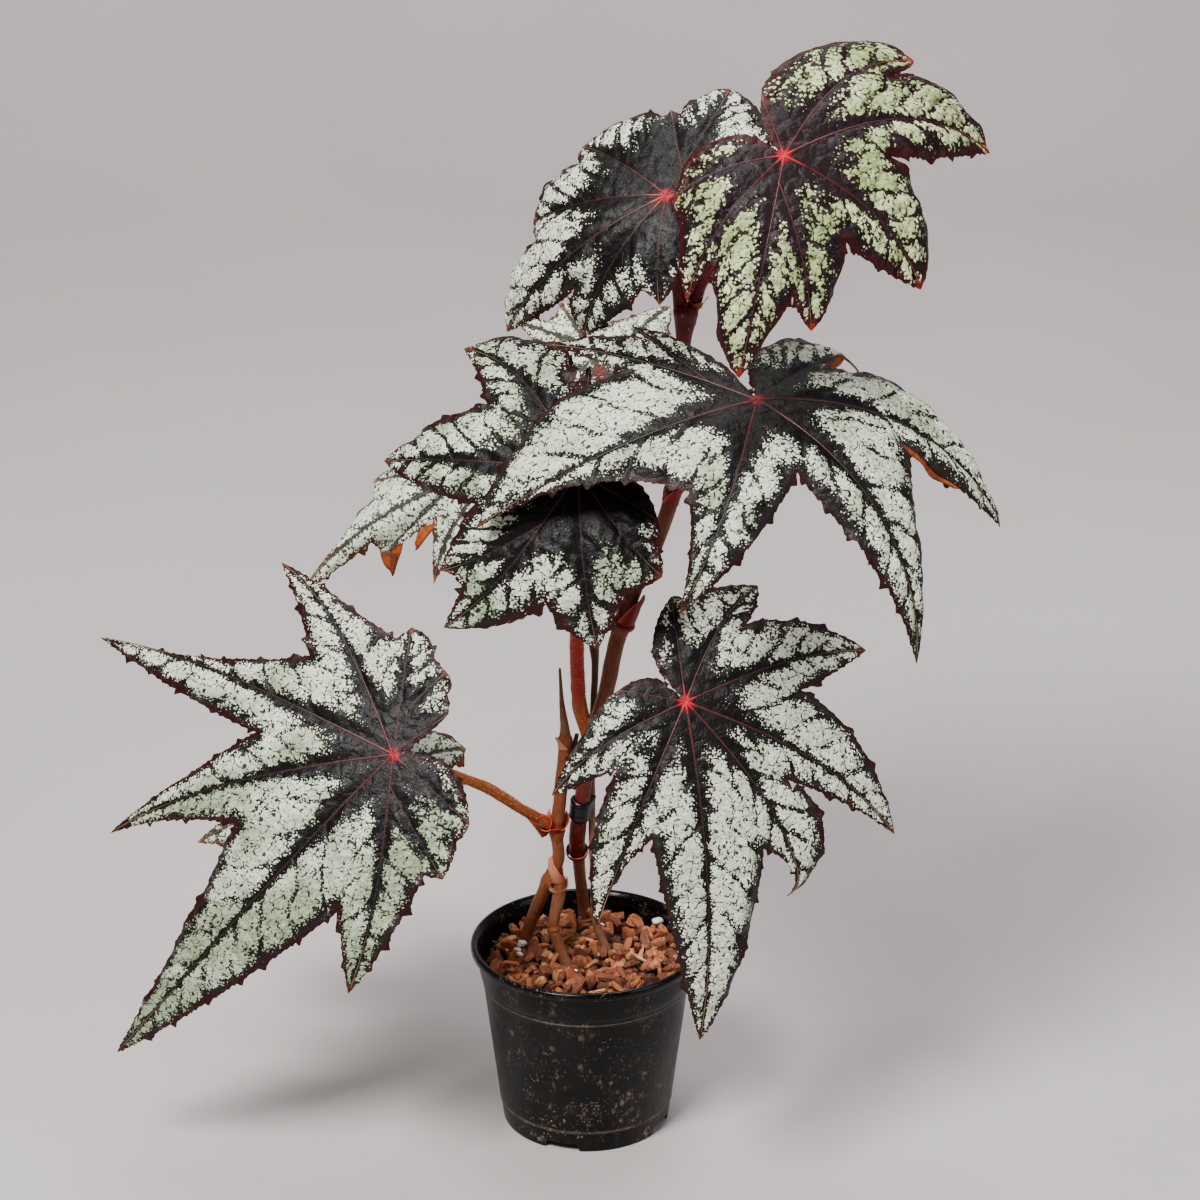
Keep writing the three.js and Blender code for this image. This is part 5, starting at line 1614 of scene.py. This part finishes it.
bark = {
    "level": 88.0, "radius": 52.4, "chips": 640, "slivers": 22, "crumbs": 150,
    "chipSize": ((7.5, 14), (4.2, 7.4), (2.4, 4.6)),  # least and most length, width, thickness
    "sliverSize": ((9, 17), (1.6, 3.0), (1.0, 1.8)),
    "bedSides": 96,
    "crumbSize": ((1.6, 4.0), (1.2, 3.0), (1.0, 2.4)),
}
# dark is the darkest bark tone, and also the painted shade low in the bed between the chips
barkLook = {"dark": (0.013, 0.0034, 0.0012), "red": (0.16, 0.033, 0.0080),
            "orange": (0.36, 0.102, 0.027), "tan": (0.64, 0.33, 0.155)}


def boxShell(cells):
    # the outer points and quads of a box of cells[0] x cells[1] x cells[2], from -0.5 to 0.5
    index, quads = {}, []
    square = [(0, 0), (1, 0), (1, 1), (0, 1)]
    for a, b, c in ((0, 1, 2), (0, 2, 1), (1, 2, 0)):
        for i, j, side in np.ndindex(cells[a], cells[b], 2):
            quad = []
            # seen from outside, one side's square runs the other way round
            for da, db in square if (side == 0) == (c == 1) else [square[k] for k in (0, 3, 2, 1)]:
                spot = [0, 0, 0]
                spot[a], spot[b], spot[c] = i + da, j + db, side * cells[c]
                quad.append(index.setdefault(tuple(spot), len(index)))
            quads.append(quad)
    return np.array(list(index)) / cells - 0.5, np.array(quads)


def scatter(count, rng, size, height, lean, shape, jitter):
    # many copies of a box shell, each scaled, pushed about, tapered, turned and set down
    points, quads = boxShell(shape)
    n = len(points)
    body = np.broadcast_to(points, (count, n, 3)).copy()
    body *= 1 - 0.5 * (np.sum(body ** 2, -1, keepdims=True) - 0.25)
    body += rng.normal(0, jitter, (count, n, 3))
    taper = rng.uniform(-0.5, 0.5, (count, 1))
    body[..., 1] *= 1 + taper * body[..., 0] * 2
    body[..., 2] *= 1 + rng.uniform(-0.6, 0.6, (count, 1)) * body[..., 0]
    body[..., 2] += rng.uniform(-0.5, 0.5, (count, 1)) * body[..., 0] ** 2
    local = body * size[:, None]
    angles = np.stack([rng.normal(0, lean, count), rng.normal(0, lean, count),
                       rng.uniform(0, 2 * np.pi, count)], -1)
    turned = np.einsum("nij,nkj->nki", turnMatrices(angles), local)
    reach = bark["radius"] * np.sqrt(rng.uniform(0, 1, count))
    reach = np.minimum(reach, bark["radius"] - size[:, 0] * 0.42)
    spin = rng.uniform(0, 2 * np.pi, count)
    spots = np.stack([reach * np.cos(spin), reach * np.sin(spin), height], -1)
    world = turned + spots[:, None]
    faces = quads[None] + (np.arange(count) * n)[:, None, None]
    owner = np.repeat(np.arange(count), n)
    return world.reshape(-1, 3), faces.reshape(-1, 4), local.reshape(-1, 3), owner


def barkMaterial():
    material, tree = newMaterial("bark chips")
    grain = attribute(tree, "grain")
    fibre = noise(stretched(grain, (0.16, 0.9, 1.3)), 1.0, 5.0, 0.65)
    wide = noise(grain, 0.14, 3.0)
    key = plus(parts(attribute(tree, "tone"))[0], times(minus(wide, 0.5), 0.7))
    colour = blend(ramp(key, -0.1, 0.34), barkLook["dark"], barkLook["red"])
    colour = blend(ramp(key, 0.35, 0.72), colour, barkLook["orange"])
    colour = blend(ramp(key, 0.78, 1.15), colour, barkLook["tan"])
    colour = blend(ramp(fibre, 0.46, 0.70, 0.0, 0.72), colour, barkLook["dark"])
    # painted shade: chips go darker the lower they lie in the bed, standing in for the shade in the gaps
    # between them
    height = parts(objectSpot(tree))[2]
    colour = blend(ramp(height, 0.0860, 0.0922, 0.92, 0.0), colour, barkLook["dark"])
    return finishMaterial(material, colour, ramp(fibre, 0.3, 0.7, 0.55, 0.85),
                          height=plus(fibre, times(wide, 0.6)), depth=0.0007)


def buildBark():
    rng = np.random.default_rng(77)

    def heap(kind, size, heights, lean, shape, jitter, spread=None):
        count = bark[kind]
        size = np.stack([rng.uniform(*limits, count) for limits in bark[size]], -1)
        if spread:
            size *= rng.uniform(*spread, (count, 1))
        height = bark["level"] + rng.uniform(*heights, count)
        return scatter(count, rng, size, height, lean, shape, jitter)

    heaps = [heap("chips", "chipSize", (-6, 3.4), 0.8, (3, 2, 2), 0.05, (0.65, 1.1)),
             heap("slivers", "sliverSize", (0.5, 3.6), 0.22, (3, 2, 1), 0.07),
             heap("crumbs", "crumbSize", (-3, 2.8), 0.7, (2, 2, 1), 0.10)]
    meshes, grains, tones = [], [], []
    for (spots, faces, local, owner), tint in zip(heaps, ((0.1, 0.95), (0.6, 1.15), (0.0, 0.9))):
        count = owner[-1] + 1
        tone = rng.uniform(*tint, count)
        shift = rng.uniform(0, 400, (count, 3))
        meshes.append((spots, faces, noTriangles))
        grains.append(local + shift[owner])
        tones.append(np.repeat(tone[owner][:, None], 3, axis=1))
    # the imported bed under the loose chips, a closed body with an uneven top
    level = bark["level"]
    r = [0.5, 6, 12, 18, 24, 30, 36, 42, 47, 51, 52.6, 52.6, 49.5, 46, 42.2, 41, 20, 0.5]
    z = [*[level - 4.5] * 9, level - 5, level - 7, 76, 66, 30, 7, 6.7, 6.7, 6.7]

    def uneven(radius, height, turn):
        flat = np.stack([radius * np.cos(turn), radius * np.sin(turn)], -1)
        bumps = ripples(flat, 9, 5) + 0.6 * ripples(flat, 4, 6)
        return radius, height + np.where(height > level - 6, bumps, 0)

    bed, bedQuads = latheMesh(np.stack([r, z], -1), bark["bedSides"], uneven)
    loose = sum(len(each) for each in grains)
    meshes.append((bed, bedQuads, noTriangles))
    grains.append(bed)
    # the bed gets a tone near the darkest: painted shade where it shows between the loose chips
    tones.append(np.full((len(bed), 3), 0.05))
    points, faces = mergeMeshes(meshes)
    addMesh("bark_chips", points, faces, barkMaterial(), "bark", ["bark"], sharp=28,
            vectors={"grain": np.vstack(grains), "tone": np.vstack(tones)})
    print("bark", loose, "points")


# where white grains lie: x, y, z, radius
perlite = [(-33.3, 9.5, 93.8, 2.2), (-35.6, 2.6, 93.6, 1.6), (-34.2, -1.4, 93.2, 1.6),
           (37.3, 35, 93.4, 2.6), (-5, -17.5, 92.6, 0.8), (-20, 24, 92.5, 1.2), (8, 33, 92.2, 1.4)]


def buildPerlite():
    # white grains: spheres whose radius is uneven, by ripples of the direction
    lat, turn = np.linspace(0, np.pi, 14)[1:-1, None], around(16)
    way = np.stack(np.broadcast_arrays(np.sin(lat) * np.cos(turn), np.sin(lat) * np.sin(turn),
                                       np.cos(lat)), -1)
    ball, quads, caps = closedRings(way, [0, 0, 1], [0, 0, -1])
    pieces = []
    for i, (*centre, radius) in enumerate(perlite):
        uneven = (1 + 0.16 * ripples(ball, 1.3, 60 + i))[:, None] * radius
        pieces.append((ball * uneven * [1.1, 0.95, 0.8] + centre, quads[:, ::-1], caps[:, ::-1]))
    material, tree = newMaterial("perlite")
    pores = noise(objectSpot(tree), 1100.0, 4.0, 0.7)
    finishMaterial(material, blend(ramp(pores, 0.35, 0.6), (0.45, 0.38, 0.32), (0.80, 0.77, 0.72)),
                   ramp(pores, 0.2, 0.8, 0.6, 0.85), height=pores, depth=0.0004)
    addMesh("perlite", *mergeMeshes(pieces), material, "bark")


buildBark()
buildPerlite()
print("bark made")


# Floor and backdrop in one sweep, and the lights

def buildStage():
    # a flat floor that turns up through a wide arc into a wall behind the plant
    back, radius, wide, wallTop, sink = view["backdropDistance"], 700.0, 3500.0, 4200.0, 0.02
    arc = np.linspace(0, np.pi / 2, 24)
    line = [(-wide, -sink), *zip(back + radius * np.sin(arc), radius * (1 - np.cos(arc)) - sink),
            (back + radius, wallTop)]
    points = np.array([[x, y, z] for y, z in line for x in (-wide, wide)])
    mesh = bpy.data.meshes.new("stage")
    mesh.from_pydata(toWorld(points).tolist(), [], gridFaces(len(line), 2)[:, ::-1].tolist())
    mesh.polygons.foreach_set("use_smooth", np.full(len(mesh.polygons), True))
    material, tree = newMaterial("stage paper")
    cloud = ramp(noise(objectSpot(tree), 2.2, 4.0), 0.3, 0.7)
    darker = tuple(0.93 * c for c in view["floor"])
    mesh.materials.append(finishMaterial(material, blend(cloud, view["floor"], darker), 0.9, 0.1))
    newObject("stage", mesh)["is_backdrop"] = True


def buildWorld():
    world = bpy.data.worlds.new("studio")
    bpy.context.scene.world = world
    world.use_nodes = True
    shade = world.node_tree.nodes["Background"].inputs
    shade["Color"].default_value = (*view["world"], 1)
    shade["Strength"].default_value = view["worldStrength"]


buildStage()
buildWorld()
lights = {  # place, target, width in metres, power in watts, colour
    "key": ((-900, -1500, 2500), (0, 0, 280), 1.0, 158, (1.0, 0.985, 0.965)),
    "fill": ((1900, -1100, 1500), (0, 0, 260), 1.5, 17, (0.97, 0.98, 1.0)),
    "top": ((200, 500, 2300), (0, 0, 300), 1.2, 44, (1.0, 1.0, 1.0)),
}
for name, values in lights.items():
    makeLight(name, *values)
print("stage and lights set")
